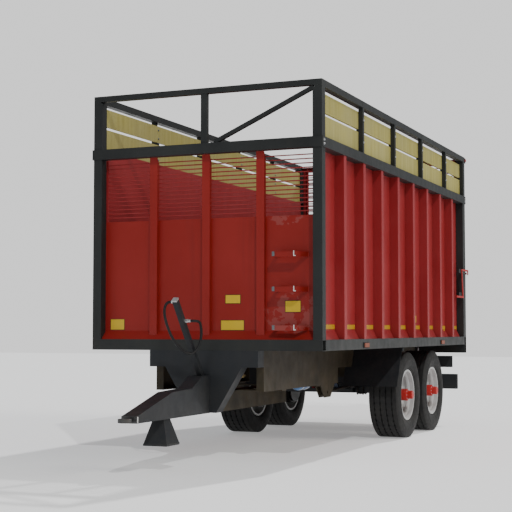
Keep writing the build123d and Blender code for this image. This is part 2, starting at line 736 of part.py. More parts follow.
rib_width = 80.0
rib_pitch = 650.0
first_rib = 700.0
rib_count = 8
rear_post = 140.0
wall_rear = body_length - rear_post - weld_gap
recess_foot = 43.0
panel_front = sheet_station + skin + weld_gap
for side, side_name in ((1, "left"), (-1, "right")):
    with BuildPart() as side_panel:
        block(span(side, recess_face - skin, recess_face), (panel_front, wall_rear),
              (wall_bottom, mid_rail_top))
        block(span(side, recess_face - skin, floor_edge + 4), (panel_front, panel_front + skin),
              (wall_bottom, mid_rail_bottom - weld_gap))
        block(span(side, floor_edge + weld_gap, floor_edge + 4), (post_size + weld_gap, panel_front + skin),
              (wall_bottom, mid_rail_bottom - weld_gap))
        with BuildSketch(Plane.XZ.offset(-at(panel_front))) as foot_wedge:
            with BuildLine():
                Polyline((side * (recess_face - 1), wall_bottom + foot_rise),
                         (side * recess_face, wall_bottom + foot_rise),
                         (side * (recess_face + recess_foot), wall_bottom),
                         (side * (recess_face - 1), wall_bottom), close=True)
            make_face()
        extrude(amount=-(wall_rear - panel_front))
        for number in range(rib_count):
            station = first_rib + rib_pitch * number
            block(span(side, recess_face - 1, half_width), (station - rib_width / 2, station + rib_width / 2),
                  (wall_bottom, mid_rail_bottom - weld_gap))
            block(span(side, recess_face + 1, half_width - skin),
                  (station - rib_width / 2 + skin, station + rib_width / 2 - skin),
                  (wall_bottom - 1, mid_rail_bottom + 1), mode=Mode.SUBTRACT)
    save(side_panel.part, f"{side_name}_side_panel")

rail_inner_face = recess_face + weld_gap
top_rail_bottom = 3692.0
top_rail_inner = 1195.0
with BuildPart() as corner_posts:
    for side in both_sides:
        post_x = span(side, sill_inner, half_width)
        tube(post_x, (0, post_size), (wall_bottom, mid_rail_bottom - weld_gap), "z")
        tube(post_x, (body_length - rear_post, body_length), (wall_bottom, mid_rail_bottom - weld_gap), "z")
        tube(post_x, (0, post_size), (mid_rail_top + weld_gap, top_rail_bottom - weld_gap), "z")
        tube(post_x, (body_length - post_size, body_length),
             (mid_rail_top + weld_gap, top_rail_bottom - weld_gap), "z")
save(corner_posts.part, "corner_posts")

mid_outer = half_width + rail_overhang
mid_z = (mid_rail_bottom, mid_rail_top)
mid_core_z = (mid_rail_bottom + tube_wall, mid_rail_top - tube_wall)
front_rail_rear = post_size - rail_overhang
with BuildPart() as mid_rails:
    block((-mid_outer, mid_outer), (-rail_overhang, front_rail_rear), mid_z)
    block((-mid_outer + tube_wall, mid_outer - tube_wall),
          (-rail_overhang + tube_wall, front_rail_rear + 1), mid_core_z, mode=Mode.SUBTRACT)
    for side in both_sides:
        block(span(side, rail_inner_face, mid_outer), (front_rail_rear + weld_gap, body_length), mid_z)
        block(span(side, rail_inner_face - 1, mid_outer - tube_wall),
              (front_rail_rear + weld_gap + tube_wall, body_length - tube_wall), mid_core_z,
              mode=Mode.SUBTRACT)
save(mid_rails.part, "mid_rails")

front_top_bottom = 3705.0
with BuildPart() as top_rails:
    tube((-top_rail_inner + weld_gap, top_rail_inner - weld_gap), (0, 60), (front_top_bottom, frame_top), "x", 4)
    for side in both_sides:
        block(span(side, top_rail_inner, half_width), (0, body_length), (top_rail_bottom, frame_top))
        block(span(side, top_rail_inner - 1, half_width - tube_wall), (tube_wall, body_length - tube_wall),
              (top_rail_bottom + tube_wall, frame_top - tube_wall), mode=Mode.SUBTRACT)
save(top_rails.part, "top_rails")

stanchion = 50.0
first_stanchion = 1320.0
stanchion_pitch = 1200.0
stanchion_stations = [first_stanchion + stanchion_pitch * number for number in range(4)]
brace_width = 40.0
brace_x = (34 + weld_gap, sill_inner - weld_gap)
with BuildPart() as front_brace:
    with BuildSketch(Plane.XZ.offset(-at(10))):
        with BuildLine():
            Polyline([(110, mid_rail_top + 8), (640, 3443), (sill_inner + 4, top_rail_bottom - 2)])
        trace(line_width=brace_width)
    extrude(amount=-brace_width)
    with BuildSketch(Plane.XZ.offset(-at(0))):
        with Locations(((brace_x[0] + brace_x[1]) / 2, (mid_rail_top + front_top_bottom) / 2)):
            Rectangle(brace_x[1] - brace_x[0], front_top_bottom - mid_rail_top - 2 * weld_gap)
    extrude(amount=-80, mode=Mode.INTERSECT)

with BuildPart() as upper_posts:
    for side in both_sides:
        for station in stanchion_stations:
            tube(span(side, half_width - stanchion, half_width), (station - stanchion / 2, station + stanchion / 2),
                 (mid_rail_top + weld_gap, top_rail_bottom - weld_gap), "z", 4)
    tube((-34, 34), (5, 55), (mid_rail_top + weld_gap, front_top_bottom - weld_gap), "z", 4)
    add(front_brace.part)
save(upper_posts.part, "upper_posts")

board_thickness = 25.0
board_outer = half_width - stanchion - weld_gap
board_rows = ((3203.0, 3430.0), (3460.0, 3649.0))
board_ends = (post_size + weld_gap, body_length - post_size - weld_gap)
with BuildPart() as side_boards:
    for side in both_sides:
        for row in board_rows:
            block(span(side, board_outer - board_thickness, board_outer), board_ends, row)
save(side_boards.part, "side_boards")

bolt_radius = 11.0
with BuildPart() as board_bolts:
    for side in both_sides:
        for station in stanchion_stations:
            for low, high in board_rows:
                level = (low + high) / 2
                rod((side * (half_width + weld_gap), station, level),
                    (side * (half_width + 8), station, level), bolt_radius)
save(board_bolts.part, "board_bolts")

step_heights = (1327.0, 1706.0, 2050.0)
step_bar = 50.0
step_front = -28.0
with BuildPart() as steps:
    for height in step_heights:
        with BuildSketch(Plane.XY.offset(height - step_bar / 2)):
            with BuildLine():
                Polyline([(772, at(sheet_station - 4)), (772, at(step_front)), (1022, at(step_front)),
                          (1090, at(sheet_station - 4))])
            trace(line_width=6)
        extrude(amount=step_bar)
        block((772, 1022), (step_front, step_front + 34), (height + step_bar / 2 - 6, height + step_bar / 2))
        block((756, 792), (sheet_station - 8, sheet_station - weld_gap), (height - step_bar / 2, height + step_bar / 2))
        block((1070, 1106), (sheet_station - 8, sheet_station - weld_gap), (height - step_bar / 2, height + step_bar / 2))
save(steps.part, "steps")

marker_stations = (1365.0, 4635.0)
with BuildPart() as marker_lights:
    for side in both_sides:
        for station in marker_stations:
            block(span(side, half_width + weld_gap, half_width + 16), (station - 75, station + 75), (1124, 1170))
    fillet(marker_lights.edges().filter_by(Axis.X), 8)
save(marker_lights.part, "marker_lights")

reflector_margin = 24.0
post_edges = [post_size + rib_width / 2 + weld_gap]
rib_stations = [first_rib + rib_pitch * number for number in range(rib_count)]
recess_fronts = [post_size, *[station + rib_width / 2 for station in rib_stations]]
recess_rears = [*[station - rib_width / 2 for station in rib_stations], wall_rear]
with BuildPart() as reflectors:
    for side in both_sides:
        for front, rear in zip(recess_fronts, recess_rears):
            block(span(side, recess_face + weld_gap, recess_face + 2),
                  (front + reflector_margin, rear - reflector_margin), (1316, 1362))
save(reflectors.part, "reflectors")

# ================================================================ brackets, door and latches
door_axis_station = body_length + 30
door_axis_height = 3720.0
door_pin = 12.0
latch_station = 5720.0
latch_height = 2125.0
latch_pin = 14.0
latch_plate = 6.0
latch_inner = half_width + 9
latch_thickness = 12.0
keeper_height = 2105.0
door_half = 1250.0
with BuildPart() as body_brackets:
    for side in both_sides:
        low, high = span(side, lug_inner, lug_outer)
        side_profile([(tip_station - 80, sill_bottom - weld_gap), (tip_station + 80, sill_bottom - weld_gap),
                      (tip_station + 42, tip_height - 16), (tip_station - 42, tip_height - 16)], low, high)
        rod((low, tip_station, tip_height), (high, tip_station, tip_height), 45)
        rod((low - 1, tip_station, tip_height), (high + 1, tip_station, tip_height),
            tip_pin_radius + pin_clearance, mode=Mode.SUBTRACT)
        low, high = span(side, door_half + 4, half_width)
        block((low, high), (body_length + weld_gap, door_axis_station + 36), (3684, 3756))
        rod((low - 1, door_axis_station, door_axis_height), (high + 1, door_axis_station, door_axis_height),
            door_pin + pin_clearance, mode=Mode.SUBTRACT)
        for height in (latch_height, 1800.0):
            block(span(side, half_width + weld_gap, half_width + latch_plate), (latch_station - 130, body_length - 30),
                  (height - 27, height + 27))
        low, high = span(side, half_width + latch_plate - 1, latch_inner + latch_thickness + 4)
        rod((low, latch_station, latch_height), (high, latch_station, latch_height), latch_pin)
save(body_brackets.part, "body_brackets")

for side, side_name in ((1, "left"), (-1, "right")):
    with BuildPart() as latch:
        low, high = span(side, latch_inner, latch_inner + latch_thickness)
        rod((low, latch_station, latch_height), (high, latch_station, latch_height), 30)
        side_profile([(latch_station - 16, latch_height), (latch_station + 16, latch_height),
                      (latch_station + 64, 1752), (latch_station + 34, 1752)], low, high)
        side_profile([(5392, 1752), (5800, 1752), (5800, 1778), (5392, 1778)], low, high)
        side_profile([(latch_station, latch_height + 7), (6085, latch_height + 7), (6085, 2085),
                      (6062, 2085), (6062, latch_height + 33), (latch_station, latch_height + 33)][:1]
                     + [(6062, latch_height + 7), (6062, 2085), (6085, 2085), (6085, latch_height + 26),
                        (6070, latch_height + 33), (latch_station, latch_height + 30)], low, high)
        rod((low - 1, latch_station, latch_height), (high + 1, latch_station, latch_height),
            latch_pin + pin_clearance, mode=Mode.SUBTRACT)
    save(latch.part, f"{side_name}_latch")

door_front = body_length + door_gap
door_back = door_front + door_thickness
door_bottom = 1004.0
door_top = 3740.0
stile = 130.0
window = (3038.0, 3668.0)
with BuildPart() as door_frame:
    block((-door_half, door_half), (door_front, door_back), (door_bottom, door_top))
    block((-door_half + stile, door_half - stile), (door_front - 1, door_back + 1), window, mode=Mode.SUBTRACT)
    block((-door_half + stile, door_half - stile), (door_front - 1, door_back + 1),
          (door_bottom + 90, window[0] - 70), mode=Mode.SUBTRACT)
    hollow = (door_front - 1, door_back - 5)
    rail_reach = door_half - stile - 5
    for low, high in ((door_bottom, door_bottom + 90), (window[0] - 70, window[0]), (window[1], door_top)):
        block((-rail_reach, rail_reach), hollow, (low + 5, high - 5), mode=Mode.SUBTRACT)
    for side in both_sides:
        block(span(side, door_half - stile + 5, door_half - 5), hollow, (door_bottom + 5, door_top - 5),
              mode=Mode.SUBTRACT)
        rod((side * (door_half - 1), door_axis_station, door_axis_height),
            (side * (half_width + 8), door_axis_station, door_axis_height), door_pin)
        rod((side * (half_width + 1), door_axis_station, door_axis_height),
            (side * (half_width + 14), door_axis_station, door_axis_height), 20)
        rod((side * (door_half - 1), door_axis_station, keeper_height),
            (side * (latch_inner - 1), door_axis_station, keeper_height), latch_pin)
save(door_frame.part, "door_frame")

sheet_x = (-door_half + stile + weld_gap, door_half - stile - weld_gap)
with BuildPart() as door_sheet:
    block(sheet_x, (door_front + 6, door_front + 6 + skin),
          (door_bottom + 90 + weld_gap, window[0] - 70 - weld_gap))
    for x in (-540.0, 0.0, 540.0):
        block((x - 35, x + 35), (door_front + 6, door_back),
              (door_bottom + 90 + weld_gap, window[0] - 70 - weld_gap))
        block((x - 31, x + 31), (door_front + 6 + skin, door_back - 4), (door_bottom, window[0]),
              mode=Mode.SUBTRACT)
save(door_sheet.part, "door_sheet")

with BuildPart() as door_grille:
    for number in range(1, 16):
        height = window[0] + number * (window[1] - window[0]) / 16
        rod((sheet_x[0], door_front + 25, height), (sheet_x[1], door_front + 25, height), bar_radius)
    for x in (sheet_x[0] + 6, -360.0, 360.0, sheet_x[1] - 6):
        block((x - 6, x + 6), (door_front + 19, door_front + 31), (window[0] + weld_gap, window[1] - weld_gap))
save(door_grille.part, "door_grille")
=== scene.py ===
"""Finished look of a tandem-axle tipping grain trailer, built on its fixed CAD frame."""
from __future__ import annotations

import logging
import math
from collections.abc import Iterator
from dataclasses import dataclass, field
from enum import Enum

import bpy
from mathutils import Matrix, Vector

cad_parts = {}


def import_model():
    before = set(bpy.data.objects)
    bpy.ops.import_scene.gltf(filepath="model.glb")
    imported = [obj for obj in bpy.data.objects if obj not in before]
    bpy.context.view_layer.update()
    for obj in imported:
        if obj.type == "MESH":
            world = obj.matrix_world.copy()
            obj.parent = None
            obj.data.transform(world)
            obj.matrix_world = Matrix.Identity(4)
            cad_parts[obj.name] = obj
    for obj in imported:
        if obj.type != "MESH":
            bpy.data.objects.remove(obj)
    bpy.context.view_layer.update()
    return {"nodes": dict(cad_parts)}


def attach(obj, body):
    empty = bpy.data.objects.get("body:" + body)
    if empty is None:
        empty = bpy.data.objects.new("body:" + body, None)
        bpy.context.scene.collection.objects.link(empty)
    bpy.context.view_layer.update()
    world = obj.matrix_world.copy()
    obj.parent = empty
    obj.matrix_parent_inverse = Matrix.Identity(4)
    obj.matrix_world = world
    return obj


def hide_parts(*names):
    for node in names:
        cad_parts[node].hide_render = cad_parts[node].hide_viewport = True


log = logging.getLogger("grain_trailer")

Point = tuple[float, float, float]
Colour = tuple[float, float, float]
Ring = tuple[float, float]
Piece = bpy.types.Object
Finishes = dict[str, bpy.types.Material]
Made = tuple[Piece, str, str, str, str]
"""A finished mesh with its name, finish, body and material slot."""

FRONT_FACE = -2.2105
"""Where the load box's front face stands on Y; stations run rearwards from it."""
WHEEL_RADIUS = 0.518
WHEEL_MIDDLE = 0.9865
"""How far a wheel's middle stands from the trailer's middle."""
AXLE_STATIONS = (3.417, 4.585)
STANCHION_STATIONS = (1.320, 2.520, 3.720, 4.920)
RAIL_MIDDLE = 3.7275
"""Height of the top rails' middle."""


class Side(Enum):
    """The trailer's two sides, by the sign of X."""

    LEFT = 1
    RIGHT = -1


class Axis(Enum):
    """Which way a fastener or a turned piece points."""

    X = (0.0, math.pi / 2, 0.0)
    Y = (-math.pi / 2, 0.0, 0.0)
    Z = (0.0, 0.0, 0.0)


def at(station: float) -> float:
    """Return the Y of a station, in metres behind the box's front face."""
    return station + FRONT_FACE


# ------------------------------------------------------------------ finishes
class Graph:
    """A material's node tree with short ways to add and join nodes."""

    def __init__(self, name: str) -> None:
        """Start a material.

        Args:
            name: the material's name.
        """
        self.material = bpy.data.materials.new(name)
        self.material.use_nodes = True
        self.nodes = self.material.node_tree.nodes
        self.links = self.material.node_tree.links
        self.shader = next(n for n in self.nodes if n.type == "BSDF_PRINCIPLED")
        self.place = self.nodes.new("ShaderNodeTexCoord").outputs["Object"]

    def noise(self, scale: float, detail: float = 4.0, stretch: Point = (1.0, 1.0, 1.0),
              roughness: float = 0.55):
        """Add a noise pattern.

        Args:
            scale: how fine it is.
            detail: how many octaves.
            stretch: scale along each axis.
            roughness: weight of the finer octaves.

        Returns:
            The noise's value socket.
        """
        mapping = self.nodes.new("ShaderNodeMapping")
        mapping.inputs["Scale"].default_value = stretch
        self.links.new(self.place, mapping.inputs["Vector"])
        noise = self.nodes.new("ShaderNodeTexNoise")
        noise.inputs["Scale"].default_value = scale
        noise.inputs["Detail"].default_value = detail
        noise.inputs["Roughness"].default_value = roughness
        self.links.new(mapping.outputs["Vector"], noise.inputs["Vector"])
        return noise.outputs["Fac"]

    def spread(self, value, low: float, high: float, to_low: float = 0.0, to_high: float = 1.0):
        """Stretch a value from one range onto another.

        Args:
            value: the socket to read.
            low: the value that becomes to_low.
            high: the value that becomes to_high.
            to_low: the new lowest value.
            to_high: the new highest value.

        Returns:
            The stretched value's socket.
        """
        node = self.nodes.new("ShaderNodeMapRange")
        self.links.new(value, node.inputs["Value"])
        limits = {"From Min": low, "From Max": high, "To Min": to_low, "To Max": to_high}
        for name, number in limits.items():
            node.inputs[name].default_value = number
        return node.outputs["Result"]

    def times(self, first, second):
        """Multiply two values.

        Args:
            first: one socket.
            second: the other socket.

        Returns:
            The product's socket.
        """
        node = self.nodes.new("ShaderNodeMath")
        node.operation = "MULTIPLY"
        node.use_clamp = True
        self.links.new(first, node.inputs[0])
        self.links.new(second, node.inputs[1])
        return node.outputs[0]

    def coordinate(self, axis: str):
        """Return the socket of the place's X, Y or Z."""
        split = self.nodes.new("ShaderNodeSeparateXYZ")
        self.links.new(self.place, split.inputs["Vector"])
        return split.outputs[axis]

    def height(self, low: float, high: float):
        """Fade with height.

        Args:
            low: height in metres where the value is 1.
            high: height in metres where it is 0.

        Returns:
            The fade's socket.
        """
        return self.spread(self.coordinate("Z"), low, high, 1.0, 0.0)

    def outboard(self, reach: float):
        """Tell what lies nearer to the middle than a distance on X.

        Args:
            reach: the distance in metres.

        Returns:
            A socket that is 1 inboard of it and 0 outboard.
        """
        size = self.nodes.new("ShaderNodeMath")
        size.operation = "ABSOLUTE"
        self.links.new(self.coordinate("X"), size.inputs[0])
        return self.spread(size.outputs[0], reach - 0.002, reach + 0.002, 1.0, 0.0)

    def spot(self, centre: Point, size: Point):
        """Fade outwards from a place.

        Args:
            centre: the middle, in metres.
            size: how far it reaches on each axis.

        Returns:
            A socket that is 1 in the middle and 0 outside.
        """
        mapping = self.nodes.new("ShaderNodeMapping")
        mapping.inputs["Location"].default_value = tuple(-c / r for c, r in zip(centre, size))
        mapping.inputs["Scale"].default_value = tuple(1.0 / r for r in size)
        self.links.new(self.place, mapping.inputs["Vector"])
        ball = self.nodes.new("ShaderNodeTexGradient")
        ball.gradient_type = "SPHERICAL"
        self.links.new(mapping.outputs["Vector"], ball.inputs["Vector"])
        return ball.outputs["Fac"]

    def blend(self, amount, first, second):
        """Mix two colours.

        Args:
            amount: the socket that mixes them.
            first: a colour or a colour's socket.
            second: a colour or a colour's socket.

        Returns:
            The mixed colour's socket.
        """
        node = self.nodes.new("ShaderNodeMix")
        node.data_type = "RGBA"
        self.links.new(amount, node.inputs["Factor"])
        for colour, socket in ((first, node.inputs[6]), (second, node.inputs[7])):
            if isinstance(colour, tuple):
                socket.default_value = (*colour, 1.0)
            else:
                self.links.new(colour, socket)
        return node.outputs[2]

    def bump(self, value, distance: float, strength: float = 0.6) -> None:
        """Raise the surface by a pattern.

        Args:
            value: the pattern's socket.
            distance: its height in metres.
            strength: how strongly it shows.
        """
        node = self.nodes.new("ShaderNodeBump")
        node.inputs["Distance"].default_value = distance
        node.inputs["Strength"].default_value = strength
        self.links.new(value, node.inputs["Height"])
        self.links.new(node.outputs["Normal"], self.shader.inputs["Normal"])

    def roughen(self, pattern, low: float, rise: float = 0.2) -> None:
        """Let the roughness follow a pattern, from a low value up by a rise."""
        self.feed("Roughness", self.spread(pattern, 0.3, 0.7, low, low + rise))

    def feed(self, name: str, value) -> None:
        """Join a value to one of the shader's inputs."""
        self.links.new(value, self.shader.inputs[name])

    def fix(self, name: str, value: float) -> None:
        """Set one of the shader's inputs all over."""
        self.shader.inputs[name].default_value = value


@dataclass(frozen=True)
class Paint:
    """Sprayed paint with faded patches, run-off streaks, road dust low down and chipped spots."""

    name: str
    colour: Colour
    faded: Colour
    streak: Colour
    dust: Colour = (0.20, 0.15, 0.10)
    dust_top: float = 1.6
    dust_amount: float = 0.45
    streak_amount: float = 0.35
    gloss: float = 0.38
    coat: float = 0.04
    shine: float = 0.28
    scuffs: tuple[tuple[Point, Point], ...] = ()
    scuff: Colour = (0.28, 0.085, 0.075)
    painted_beyond: float = 0.0
    unpainted: Colour = (0.016, 0.014, 0.013)

    def build(self) -> bpy.types.Material:
        """Make the material."""
        graph = Graph(self.name)
        patches = graph.spread(graph.noise(1.3, 6.0), 0.35, 0.68)
        colour = graph.blend(patches, self.colour, self.faded)
        runs = graph.noise(9.0, 5.0, (1.0, 1.0, 0.07))
        streaks = graph.spread(runs, 0.56, 0.74, 0.0, self.streak_amount)
        colour = graph.blend(streaks, colour, self.streak)
        low = graph.height(0.2, self.dust_top)
        cloud = graph.spread(graph.noise(5.0, 8.0, roughness=0.65), 0.36, 0.66, 0.0, self.dust_amount)
        colour = graph.blend(graph.times(low, cloud), colour, self.dust)
        chips = graph.spread(graph.noise(46.0, 3.0), 0.72, 0.75, 0.0, 0.5)
        colour = graph.blend(chips, colour, self.streak)
        if self.painted_beyond:
            colour = graph.blend(graph.outboard(self.painted_beyond), colour, self.unpainted)
        for centre, size in self.scuffs:
            ragged = graph.times(graph.spread(graph.spot(centre, size), 0.0, 0.35),
                                 graph.spread(graph.noise(7.0, 7.0, roughness=0.62), 0.40, 0.60))
            colour = graph.blend(graph.spread(ragged, 0.34, 0.40, 0.0, 0.42), colour, self.scuff)
        graph.feed("Base Color", colour)
        graph.roughen(graph.noise(7.0, 6.0), self.gloss)
        graph.fix("Specular IOR Level", self.shine)
        graph.fix("Coat Weight", self.coat)
        graph.fix("Coat Roughness", 0.18)
        graph.bump(graph.noise(150.0, 2.0), 0.0004, 0.35)
        return graph.material


@dataclass(frozen=True)
class Metal:
    """Bare metal with fine scratches and dull patches."""

    name: str
    colour: Colour
    stain: Colour
    rough: float = 0.32
    stain_amount: float = 0.4

    def build(self) -> bpy.types.Material:
        """Make the material."""
        graph = Graph(self.name)
        stains = graph.spread(graph.noise(18.0, 6.0), 0.45, 0.7, 0.0, self.stain_amount)
        graph.feed("Base Color", graph.blend(stains, self.colour, self.stain))
        graph.roughen(graph.noise(60.0, 4.0, (1.0, 1.0, 12.0)), self.rough, 0.22)
        graph.fix("Metallic", 0.9)
        graph.bump(graph.noise(220.0, 3.0), 0.0002, 0.3)
        return graph.material


@dataclass(frozen=True)
class Rubber:
    """Black rubber, dusty where it meets the road."""

    name: str
    colour: Colour
    dust: Colour
    dust_amount: float
    rough: float = 0.62

    def build(self) -> bpy.types.Material:
        """Make the material."""
        graph = Graph(self.name)
        cloud = graph.spread(graph.noise(7.0, 8.0, roughness=0.7), 0.35, 0.7, 0.0, self.dust_amount)
        graph.feed("Base Color", graph.blend(cloud, self.colour, self.dust))
        graph.roughen(graph.noise(22.0, 5.0), self.rough)
        graph.fix("Specular IOR Level", 0.25)
        graph.bump(graph.noise(170.0, 4.0), 0.0006, 0.5)
        return graph.material


@dataclass(frozen=True)
class Timber:
    """Weathered boards with a long grain."""

    name: str
    pale: Colour
    dark: Colour
    weathered: Colour = (0.29, 0.27, 0.15)

    def build(self) -> bpy.types.Material:
        """Make the material."""
        graph = Graph(self.name)
        grain = graph.noise(20.0, 6.0, (1.0, 1.0, 0.06))
        colour = graph.blend(graph.spread(grain, 0.35, 0.7), self.pale, self.dark)
        weather = graph.spread(graph.noise(2.2, 5.0), 0.4, 0.7, 0.0, 0.35)
        colour = graph.blend(weather, colour, self.weathered)
        graph.feed("Base Color", colour)
        graph.roughen(grain, 0.62, 0.23)
        graph.bump(grain, 0.0012, 0.5)
        return graph.material


@dataclass(frozen=True)
class Lens:
    """Coloured lamp lens or reflective strip with a fine moulded pattern."""

    name: str
    colour: Colour
    deep: Colour
    rough: float = 0.16
    cell_scale: float = 180.0

    def build(self) -> bpy.types.Material:
        """Make the material."""
        graph = Graph(self.name)
        cells = graph.nodes.new("ShaderNodeTexVoronoi")
        cells.inputs["Scale"].default_value = self.cell_scale
        graph.links.new(graph.place, cells.inputs["Vector"])
        facet = graph.spread(cells.outputs["Distance"], 0.0, 0.6)
        graph.feed("Base Color", graph.blend(facet, self.colour, self.deep))
        graph.roughen(graph.noise(30.0), self.rough, 0.15)
        graph.fix("Specular IOR Level", 0.3)
        graph.fix("Coat Weight", 0.1)
        graph.bump(cells.outputs["Distance"], 0.0006, 0.5)
        return graph.material


# Middle and reach of each worn patch on the headboard.
SCUFFS = (((0.94, -2.105, 1.47), (0.36, 0.5, 0.24)), ((0.84, -2.105, 2.42), (0.24, 0.5, 0.09)))

FINISHES = (
    # painted light: body_red (pinker, for the sunlit sides) and headboard_red_painted_shade (darker and
    # duller, for the front faces in shade) are lit and shaded copies of one red paint
    Paint("body_red", (0.24, 0.0145, 0.016), (0.275, 0.023, 0.025), (0.115, 0.011, 0.01), dust_top=1.6,
          dust_amount=0.12, streak_amount=0.25),
    Paint("headboard_red_painted_shade", (0.225, 0.0085, 0.0055), (0.255, 0.014, 0.01), (0.12, 0.009, 0.006),
          dust_top=1.4, dust_amount=0.1, streak_amount=0.28, scuffs=SCUFFS),
    Paint("frame_grey", (0.0135, 0.015, 0.015), (0.023, 0.025, 0.024), (0.042, 0.036, 0.027),
          dust=(0.07, 0.062, 0.044), dust_top=1.45, dust_amount=0.4, streak_amount=0.22, gloss=0.42),
    Paint("chassis_grey", (0.0125, 0.0145, 0.018), (0.02, 0.022, 0.025), (0.045, 0.038, 0.028),
          dust=(0.052, 0.047, 0.038), dust_top=1.4, dust_amount=0.35, streak_amount=0.22, gloss=0.44),
    Paint("road_brown", (0.022, 0.018, 0.011), (0.034, 0.0275, 0.017), (0.06, 0.044, 0.026),
          dust=(0.085, 0.064, 0.036), dust_top=1.5, dust_amount=0.7, streak_amount=0.3, gloss=0.5,
          shine=0.2),
    Paint("pad_grey", (0.11, 0.118, 0.128), (0.15, 0.158, 0.168), (0.07, 0.06, 0.05), gloss=0.5),
    Paint("latch_red", (0.33, 0.01, 0.009), (0.38, 0.02, 0.018), (0.14, 0.08, 0.07),
          dust_amount=0.1),
    Paint("hub_red", (0.4, 0.009, 0.008), (0.46, 0.02, 0.018), (0.18, 0.015, 0.012), dust_top=0.9,
          dust_amount=0.15, painted_beyond=0.984),
    Paint("wheel_grey", (0.42, 0.43, 0.43), (0.5, 0.51, 0.505), (0.26, 0.24, 0.2), dust_top=1.0,
          dust_amount=0.35, streak_amount=0.15, gloss=0.4),
    Paint("brake_blue", (0.045, 0.07, 0.125), (0.07, 0.1, 0.165), (0.04, 0.04, 0.04)),
    # painted reflection: the tank's bright blue stands in for the sky reflected in it
    Paint("tank_sky_reflection_blue", (0.07, 0.16, 0.34), (0.12, 0.23, 0.43), (0.07, 0.07, 0.07), gloss=0.25),
    Paint("plate_yellow", (0.56, 0.37, 0.012), (0.62, 0.43, 0.03), (0.3, 0.19, 0.03), dust_top=1.7,
          dust_amount=0.1, streak_amount=0.15, gloss=0.3),
    Paint("plate_black", (0.012, 0.012, 0.011), (0.02, 0.02, 0.018), (0.05, 0.045, 0.035), gloss=0.4),
    Metal("ram_chrome", (0.72, 0.73, 0.75), (0.5, 0.48, 0.44), 0.12, 0.15),
    Metal("zinc_steel", (0.6, 0.61, 0.62), (0.36, 0.33, 0.29), 0.34),
    Metal("blued_bolts", (0.2, 0.23, 0.28), (0.12, 0.12, 0.12), 0.38),
    Metal("brass_fitting", (0.62, 0.47, 0.2), (0.35, 0.25, 0.11), 0.3),
    Metal("worn_forging", (0.1, 0.1, 0.1), (0.06, 0.05, 0.04), 0.42, 0.55),
    Metal("spring_steel", (0.04, 0.038, 0.036), (0.085, 0.06, 0.042), 0.48, 0.5),
    Rubber("tyre_rubber", (0.0125, 0.0125, 0.013), dust=(0.055, 0.052, 0.045), dust_amount=0.3),
    Rubber("flap_rubber", (0.009, 0.0105, 0.013), dust=(0.05, 0.047, 0.04), dust_amount=0.25),
    Rubber("hose_rubber", (0.008, 0.008, 0.009), dust=(0.06, 0.058, 0.05), dust_amount=0.12, rough=0.42),
    Timber("board_timber", (0.352, 0.312, 0.078), (0.282, 0.246, 0.055)),
    Lens("amber_lens", (0.26, 0.05, 0.001), (0.18, 0.03, 0.001), 0.3),
    Lens("red_lens", (0.5, 0.01, 0.008), (0.22, 0.003, 0.003)),
    Lens("yellow_tape", (0.56, 0.33, 0.015), (0.42, 0.23, 0.01), 0.3),
    # painted highlight: this white stands in for glints on the step clips and on the drawbar's nose
    Lens("painted_highlight_white", (0.78, 0.78, 0.76), (0.62, 0.62, 0.6), 0.35),
)

FINISH_NODES = {
    "road_brown": ("main_rails", "crossmembers", "spring_hangers"),
    "chassis_grey": ("front_bulkhead", "drawbar", "hose_post", "axles", "flap_arms", "rear_bars",
        "ram_cradle", "stand_leg"),
    "worn_forging": ("tow_eye",),
    "zinc_steel": ("hose_fittings", "tip_pins", "board_bolts"),
    "spring_steel": ("leaf_springs", "axle_clamps"),
    "brake_blue": ("brake_chambers",),
    "flap_rubber": ("mudflaps",),
    "red_lens": ("rear_lamps",),
    "frame_grey": ("sills", "floor_bearers", "corner_posts", "mid_rails", "top_rails", "upper_posts",
        "body_brackets"),
    "body_red": ("floor", "headboard_grille", "left_side_panel", "right_side_panel", "door_frame",
        "door_sheet", "door_grille", "ram_barrel"),
    # painted shade: the front panel, its posts and the steps take the shaded copy of the body red
    "headboard_red_painted_shade": ("front_panel", "headboard_posts", "steps"),
    "board_timber": ("side_boards",),
    "amber_lens": ("marker_lights",),
    "yellow_tape": ("reflectors",),
    "latch_red": ("left_latch", "right_latch"),
    "ram_chrome": ("ram_stage_1", "ram_stage_2", "ram_stage_3", "ram_stage_4"),
}

NODE_FINISH = {node: finish for finish, nodes in FINISH_NODES.items() for node in nodes}

PART_FINISH = {"tyre": "tyre_rubber", "rim": "wheel_grey", "hub": "hub_red"}


def build_finishes() -> Finishes:
    """Make every finish.

    Returns:
        The materials by name.
    """
    return {finish.name: finish.build() for finish in FINISHES}


